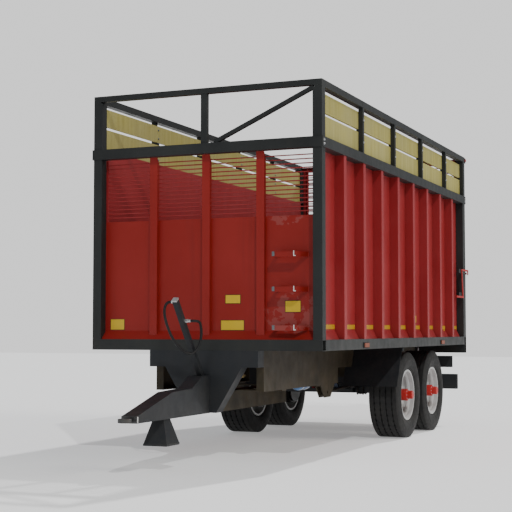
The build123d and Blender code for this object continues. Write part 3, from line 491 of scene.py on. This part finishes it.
# ------------------------------------------------------------------ hand tools
class Bench:
    """Hand tools that the sub-assemblies share."""

    @staticmethod
    def clear() -> None:
        """Deselect every object."""
        bpy.ops.object.select_all(action="DESELECT")

    @staticmethod
    def hold(piece: Piece) -> None:
        """Select one object and make it the active one."""
        Bench.clear()
        piece.select_set(True)
        bpy.context.view_layer.objects.active = piece

    @staticmethod
    def apply_place(piece: Piece) -> None:
        """Put the object's place into its mesh."""
        Bench.hold(piece)
        bpy.ops.object.transform_apply(location=True, rotation=True, scale=True)

    @staticmethod
    def smooth(piece: Piece, angle: float = 35.0) -> None:
        """Shade the object smoothly below an angle in degrees."""
        Bench.hold(piece)
        bpy.ops.object.shade_smooth_by_angle(angle=math.radians(angle))

    @staticmethod
    def bevel(piece: Piece, edge: float, segments: int) -> None:
        """Round every edge of a piece, once its place is in its mesh."""
        Bench.apply_place(piece)
        bpy.ops.object.mode_set(mode="EDIT")
        bpy.ops.mesh.select_all(action="SELECT")
        bpy.ops.mesh.bevel(offset=edge, segments=segments, affect="EDGES")
        bpy.ops.object.mode_set(mode="OBJECT")

    @staticmethod
    def plate(centre: Point, size: Point, edge: float, segments: int = 2) -> Piece:
        """Make a plate with rounded edges.

        Args:
            centre: its middle.
            size: its size on each axis.
            edge: radius of its edges.
            segments: steps in each rounded edge.

        Returns:
            The new object.
        """
        Bench.clear()
        bpy.ops.mesh.primitive_cube_add(size=1.0, location=centre, scale=size)
        piece = bpy.context.active_object
        Bench.bevel(piece, edge, segments)
        Bench.smooth(piece)
        return piece

    @staticmethod
    def rings(profile: list[Ring], sides: int, closed: bool = False) -> Piece:
        """Raise rings round the Z axis one after another, from a circle.

        Args:
            profile: distance along the axis and radius of each ring.
            sides: corners in each ring.
            closed: join the last ring to the first, instead of a face at each end.

        Returns:
            The new object.
        """
        Bench.clear()
        start, radius = profile[0]
        bpy.ops.mesh.primitive_circle_add(vertices=sides, radius=radius, location=(0, 0, start),
                                          fill_type="NOTHING" if closed else "NGON")
        piece = bpy.context.active_object
        Bench.apply_place(piece)
        bpy.ops.object.mode_set(mode="EDIT")
        bpy.ops.mesh.select_all(action="SELECT")
        following = profile[1:] + profile[:1] if closed else profile[1:]
        for before, after in zip(profile, following):
            rise = (0, 0, after[0] - before[0])
            bpy.ops.mesh.extrude_region_move(TRANSFORM_OT_translate={"value": rise})
            scale = after[1] / before[1]
            bpy.ops.transform.resize(value=(scale, scale, 1.0), center_override=(0, 0, after[0]))
        bpy.ops.mesh.select_all(action="SELECT")
        if closed:
            bpy.ops.mesh.remove_doubles(threshold=0.00005)
        bpy.ops.mesh.normals_make_consistent(inside=False)
        bpy.ops.object.mode_set(mode="OBJECT")
        return piece

    @staticmethod
    def turned(start: Point, axis: Axis, profile: list[Ring], sides: int = 32,
               flip: bool = False) -> Piece:
        """Make a round piece with closed ends and put it in its place.

        Args:
            start: where the profile's zero stands.
            axis: which way the profile runs.
            profile: distance along the axis and radius of each ring.
            sides: corners in each ring.
            flip: run the other way along the axis.

        Returns:
            The new object.
        """
        piece = Bench.rings(profile, sides)
        Bench.stand(piece, start, axis, flip)
        Bench.smooth(piece)
        return piece

    @staticmethod
    def stand(piece: Piece, start: Point, axis: Axis, flip: bool = False) -> None:
        """Turn a piece that was made round Z and put it in its place.

        Args:
            piece: the piece.
            start: where its zero goes.
            axis: the axis that its Z turns to.
            flip: turn it to the other way along the axis.
        """
        turn = list(axis.value)
        if flip:
            turn = [math.pi, 0.0, 0.0] if axis is Axis.Z else [-angle for angle in turn]
        piece.rotation_euler = turn
        piece.location = start
        Bench.apply_place(piece)

    @staticmethod
    def spread_copies(piece: Piece, shifts: list[Point]) -> Piece:
        """Copy a piece to several places and join all to one.

        Args:
            piece: the piece in its first place.
            shifts: how far each copy stands from it.

        Returns:
            The joined piece.
        """
        return Bench.join([piece] + [Bench.copy(piece, shift) for shift in shifts])

    @staticmethod
    def bolt(start: Point, axis: Axis, radius: float, flip: bool = False) -> Piece:
        """Make a hexagon bolt head on its washer.

        Args:
            start: the point on the surface under the washer.
            axis: which way the head stands out.
            radius: half the head's width over its corners.
            flip: stand out the other way.

        Returns:
            The new object.
        """
        washer = Bench.turned(start, axis, [(0.0, radius * 1.3), (radius * 0.16, radius * 1.3),
                                            (radius * 0.2, radius * 1.24)], 18, flip)
        head = Bench.turned(start, axis, [(radius * 0.12, radius), (radius * 0.75, radius),
                                          (radius * 0.85, radius * 0.86)], 6, flip)
        return Bench.join([head, washer])

    @staticmethod
    def join(pieces: list[Piece]) -> Piece:
        """Join objects into one.

        Args:
            pieces: the objects; the first one stays.

        Returns:
            The joined object.
        """
        Bench.clear()
        for piece in pieces:
            piece.select_set(True)
        bpy.context.view_layer.objects.active = pieces[0]
        if len(pieces) > 1:
            bpy.ops.object.join()
        return pieces[0]

    @staticmethod
    def copy(piece: Piece, shift: Point) -> Piece:
        """Copy an object with its own mesh and move the copy.

        Args:
            piece: the object to copy.
            shift: how far the copy moves.

        Returns:
            The copy.
        """
        double = piece.copy()
        double.data = piece.data.copy()
        bpy.context.collection.objects.link(double)
        double.data.transform(Matrix.Translation(shift))
        return double

    @staticmethod
    def mirror(piece: Piece) -> None:
        """Mirror a piece across X, with its faces still pointing outwards."""
        piece.data.transform(Matrix.Scale(-1.0, 4, (1.0, 0.0, 0.0)))
        piece.data.flip_normals()

    @staticmethod
    def finish(piece: Piece, name: str, material: bpy.types.Material, body: str,
               slot: str) -> None:
        """Name a piece, dress it and let it ride on a body.

        Args:
            piece: the finished mesh.
            name: its name.
            material: its finish.
            body: the CAD body it moves with.
            slot: the material slot it belongs to; not used.
        """
        piece.name = name
        piece.data.materials.clear()
        piece.data.materials.append(material)
        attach(piece, body)
        log.info("made %s", name)


# ------------------------------------------------------------------ studio
@dataclass
class Studio:
    """Floor, lights and camera."""

    eye: Point = (5.269, -13.3275, 1.314)
    turn: float = 22.877
    tilt: float = 3.438
    lens: float = 85.87
    floor_size: float = 90.0
    floor_shade: Colour = (0.88, 0.88, 0.88)
    floor_glow: float = 0.30
    sky_light: float = 0.36
    sky_colour: Colour = (0.90, 0.95, 1.0)
    backdrop_light: float = 1.1
    film_width: float = 36.0
    view_end: float = 400.0
    suns: tuple[tuple[str, Point, float, float, Colour], ...] = (
        ("key", (-0.22, -0.88, -1.0), 1.9, 1.5, (1.0, 1.0, 1.0)),
        ("side_fill", (-1.0, -0.15, -0.50), 1.15, 30.0, (1.0, 0.94, 0.85)),
        ("front_fill", (-0.75, 1.0, -1.05), 1.15, 1.2, (1.0, 1.0, 1.0)))

    def set_camera(self) -> None:
        """Set up the camera."""
        data = bpy.data.cameras.new("camera")
        data.lens = self.lens
        data.sensor_width = self.film_width
        data.clip_end = self.view_end
        camera = bpy.data.objects.new("camera", data)
        bpy.context.scene.collection.objects.link(camera)
        camera.location = self.eye
        camera.rotation_euler = (math.radians(90.0 + self.tilt), 0.0, math.radians(self.turn))
        bpy.context.scene.camera = camera

    def lay_floor(self) -> None:
        """Lay the plain pale floor."""
        Bench.clear()
        bpy.ops.mesh.primitive_plane_add(size=self.floor_size, location=(0, 0, 0))
        floor = bpy.context.active_object
        floor.name = "studio_floor"
        graph = Graph("studio_floor")
        tone = graph.spread(graph.noise(0.35, 3.0), 0.3, 0.7)
        darker = tuple(channel * 0.985 for channel in self.floor_shade)
        graph.feed("Base Color", graph.blend(tone, self.floor_shade, darker))
        graph.fix("Roughness", 0.85)
        graph.shader.inputs["Emission Color"].default_value = (1.0, 1.0, 1.0, 1.0)
        graph.fix("Emission Strength", self.floor_glow)
        floor.data.materials.append(graph.material)

    def hang_lights(self) -> None:
        """Hang a soft key light behind and fill lights in front and beside."""
        world = bpy.data.worlds.new("studio_world")
        bpy.context.scene.world = world
        world.use_nodes = True
        tree = world.node_tree
        sky = tree.nodes["Background"]
        sky.inputs["Color"].default_value = (*self.sky_colour, 1.0)
        sky.inputs["Strength"].default_value = self.sky_light
        backdrop = tree.nodes.new("ShaderNodeBackground")
        backdrop.inputs["Color"].default_value = (1.0, 1.0, 1.0, 1.0)
        backdrop.inputs["Strength"].default_value = self.backdrop_light
        path = tree.nodes.new("ShaderNodeLightPath")
        choice = tree.nodes.new("ShaderNodeMixShader")
        output = next(node for node in tree.nodes if node.type == "OUTPUT_WORLD")
        tree.links.new(path.outputs["Is Camera Ray"], choice.inputs[0])
        tree.links.new(sky.outputs[0], choice.inputs[1])
        tree.links.new(backdrop.outputs[0], choice.inputs[2])
        tree.links.new(choice.outputs[0], output.inputs["Surface"])
        for sun in self.suns:
            self.sun(*sun)

    @staticmethod
    def sun(name: str, direction: Point, strength: float, softness: float, tint: Colour) -> None:
        """Add one distant light.

        Args:
            name: its name.
            direction: which way its light travels.
            strength: how strong it is.
            softness: its apparent size in degrees.
            tint: its colour.
        """
        data = bpy.data.lights.new(name, "SUN")
        data.color = tint
        data.energy = strength
        data.angle = math.radians(softness)
        lamp = bpy.data.objects.new(name, data)
        bpy.context.scene.collection.objects.link(lamp)
        lamp.rotation_euler = Vector(direction).to_track_quat("-Z", "Y").to_euler()


# ------------------------------------------------------------------ sub-assemblies
def wheels(side: Side) -> list[tuple[str, Point]]:
    """Return the name and the place of each wheel on a side."""
    return [(f"{side.name.lower()}_{row}", (side.value * WHEEL_MIDDLE, at(station), 0.0))
            for row, station in zip(("front", "rear"), AXLE_STATIONS)]


@dataclass
class HydraulicHose:
    """The hose that hangs in a loop on its post."""

    radius: float = 0.013
    length: float = 1.24
    route: list[Point] = field(default_factory=lambda: [
        (-0.042, -0.612, 1.578), (-0.088, -0.612, 1.578), (-0.104, -0.64, 1.53), (-0.102, -0.652, 1.468),
        (-0.09, -0.646, 1.396), (-0.076, -0.616, 1.316), (-0.062, -0.564, 1.236), (-0.046, -0.49, 1.16),
        (-0.018, -0.404, 1.096), (0.026, -0.33, 1.068), (0.064, -0.276, 1.108), (0.088, -0.246, 1.186),
        (0.104, -0.252, 1.268), (0.124, -0.304, 1.338), (0.145, -0.376, 1.386), (0.145, -0.455, 1.396),
        (0.087, -0.455, 1.396)])

    def build(self, finishes: Finishes) -> None:
        """Make the hose.

        Args:
            finishes: the materials by name.
        """
        data = bpy.data.curves.new("hydraulic_hose_line", "CURVE")
        data.dimensions = "3D"
        data.bevel_depth = self.radius
        data.bevel_resolution = 5
        data.use_fill_caps = True
        spline = data.splines.new("NURBS")
        spline.points.add(len(self.route) - 1)
        for point, (x, station, z) in zip(spline.points, self.route):
            point.co = (x, at(station), z, 1.0)
        spline.order_u = 3
        spline.use_endpoint_u = True
        spline.resolution_u = 10
        hose = bpy.data.objects.new("hose_loop", data)
        bpy.context.scene.collection.objects.link(hose)
        data.materials.append(finishes["hose_rubber"])
        x, station, z = self.route[0]
        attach(hose, "chassis")
        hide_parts("hydraulic_hose")
        at(station)
        log.info("made hose_loop")


@dataclass
class Tyres:
    """Four ribbed tyres with cut rib edges and ringed side walls."""

    radius: float = WHEEL_RADIUS
    grooves: tuple[float, ...] = (-0.108, -0.036, 0.036, 0.108)
    groove_half: float = 0.0045
    groove_depth: float = 0.012
    edge_band: float = 0.0075
    cut_depth: float = 0.006
    steps: int = 132

    def outline(self) -> list[Ring]:
        """Return the closed outline of a tyre's section, from its inner bead round the tread."""
        wall = [(0.130, 0.292), (0.152, 0.292), (0.152, 0.309), (0.162, 0.322), (0.172, 0.337),
                (0.1755, 0.338), (0.1775, 0.345), (0.1845, 0.362), (0.1900, 0.385), (0.1920, 0.405),
                (0.1915, 0.420), (0.1930, 0.4225), (0.1925, 0.4275), (0.1908, 0.430), (0.1880, 0.452),
                (0.1840, 0.474), (0.1765, 0.4975), (0.1710, 0.509), (0.164, self.radius)]
        crown: list[Ring] = []
        for groove in self.grooves:
            edge = self.groove_half + self.edge_band
            floor = self.radius - self.groove_depth
            crown += [(groove - edge, self.radius), (groove - self.groove_half, self.radius),
                      (groove - self.groove_half * 0.6, floor), (groove + self.groove_half * 0.6, floor),
                      (groove + self.groove_half, self.radius), (groove + edge, self.radius)]
        lining = [(0.142, 0.320), (0.172, 0.400), (0.150, 0.487)]
        left = [(-x, r) for x, r in wall]
        right = list(reversed(wall))
        return left + crown + right + lining + [(-x, r) for x, r in reversed(lining)]

    def cut_rib_edges(self, tyre: Piece) -> None:
        """Cut short notches along both edges of every groove.

        Args:
            tyre: the tyre, still round the Z axis.
        """
        Bench.hold(tyre)
        bpy.ops.object.mode_set(mode="EDIT")
        bpy.ops.mesh.select_mode(type="FACE")
        bpy.ops.mesh.select_all(action="DESELECT")
        bpy.ops.object.mode_set(mode="OBJECT")
        reach = self.groove_half + self.edge_band
        for face in tyre.data.polygons:
            x, y, z = face.center
            gap = min(abs(z - groove) for groove in self.grooves)
            step = int((math.atan2(y, x) / math.tau) * self.steps + self.steps)
            on_tread = math.hypot(x, y) > self.radius - 0.001
            if on_tread and self.groove_half < gap < reach and step % 3 == 0:
                face.select = True
        bpy.ops.object.mode_set(mode="EDIT")
        bpy.ops.mesh.extrude_region_move(TRANSFORM_OT_translate={"value": (0, 0, 0)})
        scale = (self.radius - self.cut_depth) / self.radius
        bpy.ops.transform.resize(value=(scale, scale, 1.0), center_override=(0, 0, 0))
        bpy.ops.mesh.select_mode(type="VERT")
        bpy.ops.object.mode_set(mode="OBJECT")

    def pieces(self) -> Iterator[Made]:
        """Make the tyres, each in place of its CAD tyre."""
        pattern = Bench.rings(self.outline(), self.steps, closed=True)
        self.cut_rib_edges(pattern)
        Bench.stand(pattern, (0.0, 0.0, self.radius), Axis.X)
        Bench.smooth(pattern, 30.0)
        for side in Side:
            for wheel, place in wheels(side):
                tyre = Bench.copy(pattern, place)
                yield tyre, f"{wheel}_ribbed_tyre", "tyre_rubber", f"{wheel}_wheel", "tyre_rubber"
                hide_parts(f"{wheel}_tyre")
        bpy.data.objects.remove(pattern)


@dataclass
class WheelTrim:
    """What is fixed to each wheel: a well ring, a valve and cap screws."""

    radius: float = WHEEL_RADIUS
    well: tuple[Ring, ...] = (
        (0.056, 0.2826), (0.068, 0.2700), (0.084, 0.2655), (0.100, 0.2700), (0.112, 0.2826))
    cap_screws: int = 8
    cap_screw_circle: float = 0.060
    cap_screw_size: float = 0.0055
    hub_face: float = 0.164
    disc_face: float = 0.028
    valve_circle: float = 0.232

    def well_ring(self) -> Piece:
        """Make the ring where the rim steps down to its well."""
        ring = Bench.rings(list(self.well), 72, closed=True)
        Bench.stand(ring, (0.0, 0.0, self.radius), Axis.X)
        Bench.smooth(ring)
        return ring

    def valve(self) -> Piece:
        """Make the valve on the wheel's disc, at its top."""
        return Bench.turned((self.disc_face, 0.0, self.radius + self.valve_circle), Axis.X, [
            (0.0, 0.011), (0.006, 0.011), (0.009, 0.006), (0.030, 0.005), (0.032, 0.0065),
            (0.044, 0.0065), (0.047, 0.004)], 12)

    def screws(self) -> Piece:
        """Make the ring of cap screws on the hub's face."""
        heads = []
        for number in range(self.cap_screws):
            angle = math.tau * number / self.cap_screws
            place = (self.hub_face, self.cap_screw_circle * math.cos(angle),
                     self.radius + self.cap_screw_circle * math.sin(angle))
            heads.append(Bench.bolt(place, Axis.X, self.cap_screw_size))
        return Bench.join(heads)

    def pieces(self) -> Iterator[Made]:
        """Make the trim of all four wheels."""
        made = (("well_ring", self.well_ring(), "wheel_grey", "wheel_paint"),
                ("valve", self.valve(), "brass_fitting", "bright_metal"),
                ("cap_screws", self.screws(), "zinc_steel", "bright_metal"))
        for side in Side:
            if side is Side.RIGHT:
                for _, pattern, _, _ in made:
                    Bench.mirror(pattern)
            for wheel, place in wheels(side):
                for name, pattern, finish, slot in made:
                    yield Bench.copy(pattern, place), f"{wheel}_{name}", finish, f"{wheel}_wheel", slot
        for _, pattern, _, _ in made:
            bpy.data.objects.remove(pattern)


@dataclass
class HeadboardFittings:
    """Blank sign plates, step ends and step clips on the front of the load box; the clips' white is a
    painted highlight.
    """

    sheet: float = 0.107
    plates: tuple[tuple[float, float, float, float], ...] = (
        (-1.121, -0.954, 1.308, 1.423), (0.197, 0.367, 1.571, 1.663), (0.148, 0.406, 1.303, 1.408),
        (0.845, 1.013, 1.481, 1.599))
    step_heights: tuple[float, ...] = (1.327, 1.706, 2.050)
    step_front: float = -0.031
    pad_middle: float = 0.775
    pad_size: Point = (0.028, 0.008, 0.046)
    clip_middle: float = 0.992

    def signs(self) -> tuple[Piece, Piece]:
        """Make the blank plates on their dark backing.

        Returns:
            The backings and the plates, each joined to one object.
        """
        backs = []
        faces = []
        for left, right, low, high in self.plates:
            x, z = (left + right) / 2, (low + high) / 2
            width, height = right - left, high - low
            backs.append(Bench.plate((x, at(self.sheet - 0.0011), z), (width, 0.0014, height), 0.0005, 1))
            faces.append(Bench.plate((x, at(self.sheet - 0.0023), z),
                                     (width - 0.010, 0.0010, height - 0.010), 0.0004, 1))
        return Bench.join(backs), Bench.join(faces)

    def step_ends(self) -> Piece:
        """Make the grey pads at the outer front corner of each step."""
        station = at(self.step_front - 0.0045)
        pads = [Bench.plate((self.pad_middle, station, height + 0.004), self.pad_size, 0.003)
                for height in self.step_heights]
        return Bench.join(pads)

    def clips(self) -> Piece:
        """Make the white clip near the inner end of each step; its white is a painted highlight."""
        clips = []
        for height in self.step_heights:
            station = at(self.step_front - 0.006)
            stem = Bench.turned((self.clip_middle, station, height - 0.022), Axis.Z,
                                [(0.0, 0.004), (0.002, 0.005), (0.050, 0.005), (0.054, 0.003)], 12)
            foot = Bench.turned((self.clip_middle, station, height - 0.018), Axis.X,
                                [(-0.004, 0.004), (-0.002, 0.005), (0.018, 0.005), (0.020, 0.003)], 12)
            clips.append(Bench.join([stem, foot]))
        return Bench.join(clips)

    def pieces(self) -> Iterator[Made]:
        """Make the fittings."""
        backs, faces = self.signs()
        yield backs, "sign_backings", "plate_black", "load_body", "frame_paint"
        yield faces, "blank_signs", "plate_yellow", "load_body", "yellow_tape"
        yield self.step_ends(), "step_end_pads", "pad_grey", "load_body", "bright_metal"
        # painted highlight: the step clips are white where the step ends catch the light
        yield self.clips(), "step_clip_highlights", "painted_highlight_white", "load_body", "bright_metal"


@dataclass
class BoardFastenings:
    """Bolts through the side boards and the cleats that close the gap between the boards."""

    stations: tuple[float, ...] = STANCHION_STATIONS
    levels: tuple[float, ...] = (3.255, 3.378, 3.505, 3.604)
    inner_face: float = 1.1995
    gap: tuple[float, float] = (3.4305, 3.4595)
    reach: float = 1.2245
    bolt_size: float = 0.009
    cleat_width: float = 0.050

    def pieces(self) -> Iterator[Made]:
        """Make the fastenings of both sides."""
        first, *others = self.stations
        low, high = self.gap
        thickness = self.reach - self.inner_face
        for side in Side:
            name = side.name.lower()
            nut = Bench.bolt((side.value * self.inner_face, at(first), self.levels[0]), Axis.X,
                             self.bolt_size, flip=side is Side.LEFT)
            shifts = [(0.0, station - first, level - self.levels[0])
                      for station in self.stations for level in self.levels][1:]
            yield (Bench.spread_copies(nut, shifts), f"{name}_board_nuts", "blued_bolts", "load_body",
                   "bright_metal")
            middle = side.value * (self.inner_face + self.reach) / 2
            cleat = Bench.plate((middle, at(first), sum(self.gap) / 2),
                                (thickness, self.cleat_width, high - low), 0.002)
            cleats = Bench.spread_copies(cleat, [(0.0, station - first, 0.0) for station in others])
            yield cleats, f"{name}_board_cleats", "frame_grey", "load_body", "frame_paint"


@dataclass
class FrameFittings:
    """Corner bolts, lamp bases, rail covers, stanchion seats and two stickers on the load box."""

    outer: float = 1.287
    corner_levels: tuple[float, ...] = (3.125, 3.165)
    corner_stations: tuple[float, float] = (0.032, 5.968)
    lamp_stations: tuple[float, float] = (1.365, 4.635)
    recess: float = 1.1753
    length: float = 6.0
    corner_bolt_size: float = 0.0105
    lamp_face: float = 1.2795
    lamp_level: float = 1.147
    lamp_base_size: Point = (0.0075, 0.178, 0.060)
    cover_face: float = 1.1935
    cover_size: tuple[float, float] = (0.0025, 0.070)
    cover_margin: float = 0.14
    seat_face: float = 1.2757
    seat_size: Point = (0.0014, 0.090, 0.060)
    triangle_radius: float = 0.078
    triangle_place: tuple[float, float] = (5.13, 1.262)
    strip_place: tuple[float, float] = (3.705, 1.440)
    strip_size: Point = (0.0016, 0.030, 0.085)

    def corner_bolts(self, side: Side) -> Piece:
        """Make the bolts at both ends of a mid rail."""
        start = (side.value * self.outer, at(self.corner_stations[0]), self.corner_levels[0])
        bolt = Bench.bolt(start, Axis.X, self.corner_bolt_size, flip=side is Side.RIGHT)
        shifts = [(0.0, station - self.corner_stations[0], level - self.corner_levels[0])
                  for station in self.corner_stations for level in self.corner_levels][1:]
        return Bench.spread_copies(bolt, shifts)

    def lamp_bases(self, side: Side) -> Piece:
        """Make the rubber bases round the side marker lamps."""
        bases = [Bench.plate((side.value * self.lamp_face, at(station - 0.006), self.lamp_level),
                             self.lamp_base_size, 0.003) for station in self.lamp_stations]
        return Bench.join(bases)

    def rail_cover(self, side: Side) -> Piece:
        """Make the plate that closes the inner side of a top rail."""
        thickness, height = self.cover_size
        return Bench.plate((side.value * self.cover_face, at(self.length / 2), RAIL_MIDDLE),
                           (thickness, self.length - self.cover_margin, height), 0.001, 1)

    def stanchion_seats(self, side: Side) -> Piece:
        """Make the thin weld plates where the stanchions meet the top rail."""
        first, *others = STANCHION_STATIONS
        seat = Bench.plate((side.value * self.seat_face, at(first), RAIL_MIDDLE), self.seat_size,
                           0.0005, 1)
        return Bench.spread_copies(seat, [(0.0, station - first, 0.0) for station in others])

    def warning_triangle(self) -> Piece:
        """Make the yellow triangle at the rear of the left side."""
        Bench.clear()
        bpy.ops.mesh.primitive_cylinder_add(vertices=3, radius=self.triangle_radius,
                                            depth=0.0016)
        piece = bpy.context.active_object
        Bench.bevel(piece, 0.0005, 1)
        piece.rotation_euler = (math.pi / 2, 0.0, math.pi / 2)
        station, height = self.triangle_place
        piece.location = (self.recess + 0.0014, at(station), height)
        Bench.apply_place(piece)
        return piece

    def side_strip(self) -> Piece:
        """Make the short upright strip on the left side."""
        station, height = self.strip_place
        return Bench.plate((self.recess + 0.0012, at(station), height), self.strip_size, 0.0005, 1)

    def pieces(self) -> Iterator[Made]:
        """Make the fittings."""
        for side in Side:
            name = side.name.lower()
            yield (self.corner_bolts(side), f"{name}_rail_bolts", "zinc_steel", "load_body",
                   "bright_metal")
            yield self.lamp_bases(side), f"{name}_lamp_bases", "flap_rubber", "load_body", "flap_rubber"
            yield self.rail_cover(side), f"{name}_rail_cover", "frame_grey", "load_body", "frame_paint"
            yield (self.stanchion_seats(side), f"{name}_stanchion_seats", "frame_grey", "load_body",
                   "frame_paint")
        yield self.warning_triangle(), "side_triangle", "plate_yellow", "load_body", "yellow_tape"
        yield self.side_strip(), "side_strip", "plate_yellow", "load_body", "yellow_tape"


@dataclass
class ChassisFittings:
    """Air tank with its straps, brass coupling, tow eye bolts, white nose strips painted as edge
    highlights and lamp bezels.
    """

    tank_centre: Point = (0.40, 1.72, 0.715)
    tank_radius: float = 0.075
    tank_half: float = 0.17
    strap_offsets: tuple[float, float] = (-0.08, 0.08)
    coupling_centre: Point = (0.21, 0.52, 0.836)
    eye_bolt_corner: Point = (-0.058, -1.527, 0.495)
    eye_bolt_spread: tuple[float, float] = (0.116, 0.034)
    eye_bolt_size: float = 0.009
    nose_centre: Point = (0.0782, -1.506, 0.513)
    nose_size: Point = (0.0016, 0.014, 0.058)
    bezel_centre: Point = (0.980, 5.7075, 0.868)
    bezel_size: Point = (0.284, 0.013, 0.132)

    def air_tank(self) -> Piece:
        """Make the round air tank with domed ends; its bright blue paint is a painted sky reflection."""
        x, station, z = self.tank_centre
        half = self.tank_half
        r = self.tank_radius
        return Bench.turned((x, at(station), z), Axis.Y, [
            (-half, r * 0.30), (-half + 0.006, r * 0.62), (-half + 0.018, r * 0.86), (-half + 0.036, r),
            (half - 0.036, r), (half - 0.018, r * 0.86), (half - 0.006, r * 0.62), (half, r * 0.30)], 36)

    def tank_straps(self) -> Piece:
        """Make the two straps that hold the air tank."""
        x, station, z = self.tank_centre
        r = self.tank_radius
        straps = []
        for offset in self.strap_offsets:
            straps.append(Bench.turned((x, at(station + offset), z), Axis.Y, [
                (-0.014, r + 0.0006), (-0.013, r + 0.003), (0.013, r + 0.003), (0.014, r + 0.0006)], 36))
            straps.append(Bench.plate((x, at(station + offset), z + r + 0.022),
                                      (0.030, 0.026, 0.046), 0.002))
        return Bench.join(straps)

    def coupling(self) -> Piece:
        """Make the brass coupling behind the front bulkhead."""
        x, station, z = self.coupling_centre
        return Bench.turned((x, at(station), z), Axis.Y, [
            (-0.045, 0.011), (-0.040, 0.014), (-0.022, 0.014), (-0.020, 0.022), (0.010, 0.022),
            (0.012, 0.015), (0.042, 0.015), (0.045, 0.010)], 6)

    def eye_bolts(self) -> Piece:
        """Make the four bolts of the tow eye's flange."""
        x, station, z = self.eye_bolt_corner
        across, up = self.eye_bolt_spread
        bolt = Bench.bolt((x, at(station), z), Axis.Y, self.eye_bolt_size, flip=True)
        return Bench.spread_copies(bolt, [(across, 0.0, 0.0), (0.0, 0.0, up), (across, 0.0, up)])

    def nose_highlight_strip(self, side: Side) -> Piece:
        """Make the white strip at the drawbar's nose, a painted highlight on its front edge."""
        x, station, z = self.nose_centre
        return Bench.plate((side.value * x, at(station), z), self.nose_size, 0.0005, 1)

    def bezel(self, side: Side) -> Piece:
        """Make the dark frame round a rear lamp."""
        x, station, z = self.bezel_centre
        return Bench.plate((side.value * x, at(station), z), self.bezel_size, 0.004, 3)

    def pieces(self) -> Iterator[Made]:
        """Make the fittings."""
        yield self.air_tank(), "air_tank", "tank_sky_reflection_blue", "chassis", "brake_paint"
        yield self.tank_straps(), "air_tank_straps", "zinc_steel", "chassis", "bright_metal"
        yield self.coupling(), "air_coupling", "brass_fitting", "chassis", "bright_metal"
        yield self.eye_bolts(), "tow_eye_bolts", "worn_forging", "chassis", "bright_metal"
        for side in Side:
            name = side.name.lower()
            # painted highlight: the nose strips are white where the drawbar's front edge catches the
            # light
            yield self.nose_highlight_strip(side), f"{name}_nose_strip", "painted_highlight_white", "chassis", "bright_metal"
            yield self.bezel(side), f"{name}_lamp_bezel", "flap_rubber", "chassis", "flap_rubber"


def dress_frame(frame: dict, finishes: Finishes) -> None:
    """Give every CAD node its finish.

    Args:
        frame: the loaded frame.
        finishes: the materials by name.
    """
    for name, node in frame["nodes"].items():
        finish = NODE_FINISH.get(name) or PART_FINISH.get(name.rsplit("_", 1)[-1])
        if finish is None:
            continue
        if not node.material_slots:
            node.data.materials.append(finishes[finish])
        for slot in node.material_slots:
            slot.material = finishes[finish]


def main() -> None:
    """Build the whole trailer."""
    logging.basicConfig(level=logging.INFO, format="%(message)s")
    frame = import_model()
    finishes = build_finishes()
    studio = Studio()
    studio.set_camera()
    HydraulicHose().build(finishes)
    for assembly in (Tyres(), WheelTrim(), HeadboardFittings(), BoardFastenings(), FrameFittings(),
                     ChassisFittings()):
        for piece, name, finish, body, slot in assembly.pieces():
            Bench.finish(piece, name, finishes[finish], body, slot)
    dress_frame(frame, finishes)
    studio.lay_floor()
    studio.hang_lights()


if __name__ == "__main__":
    main()
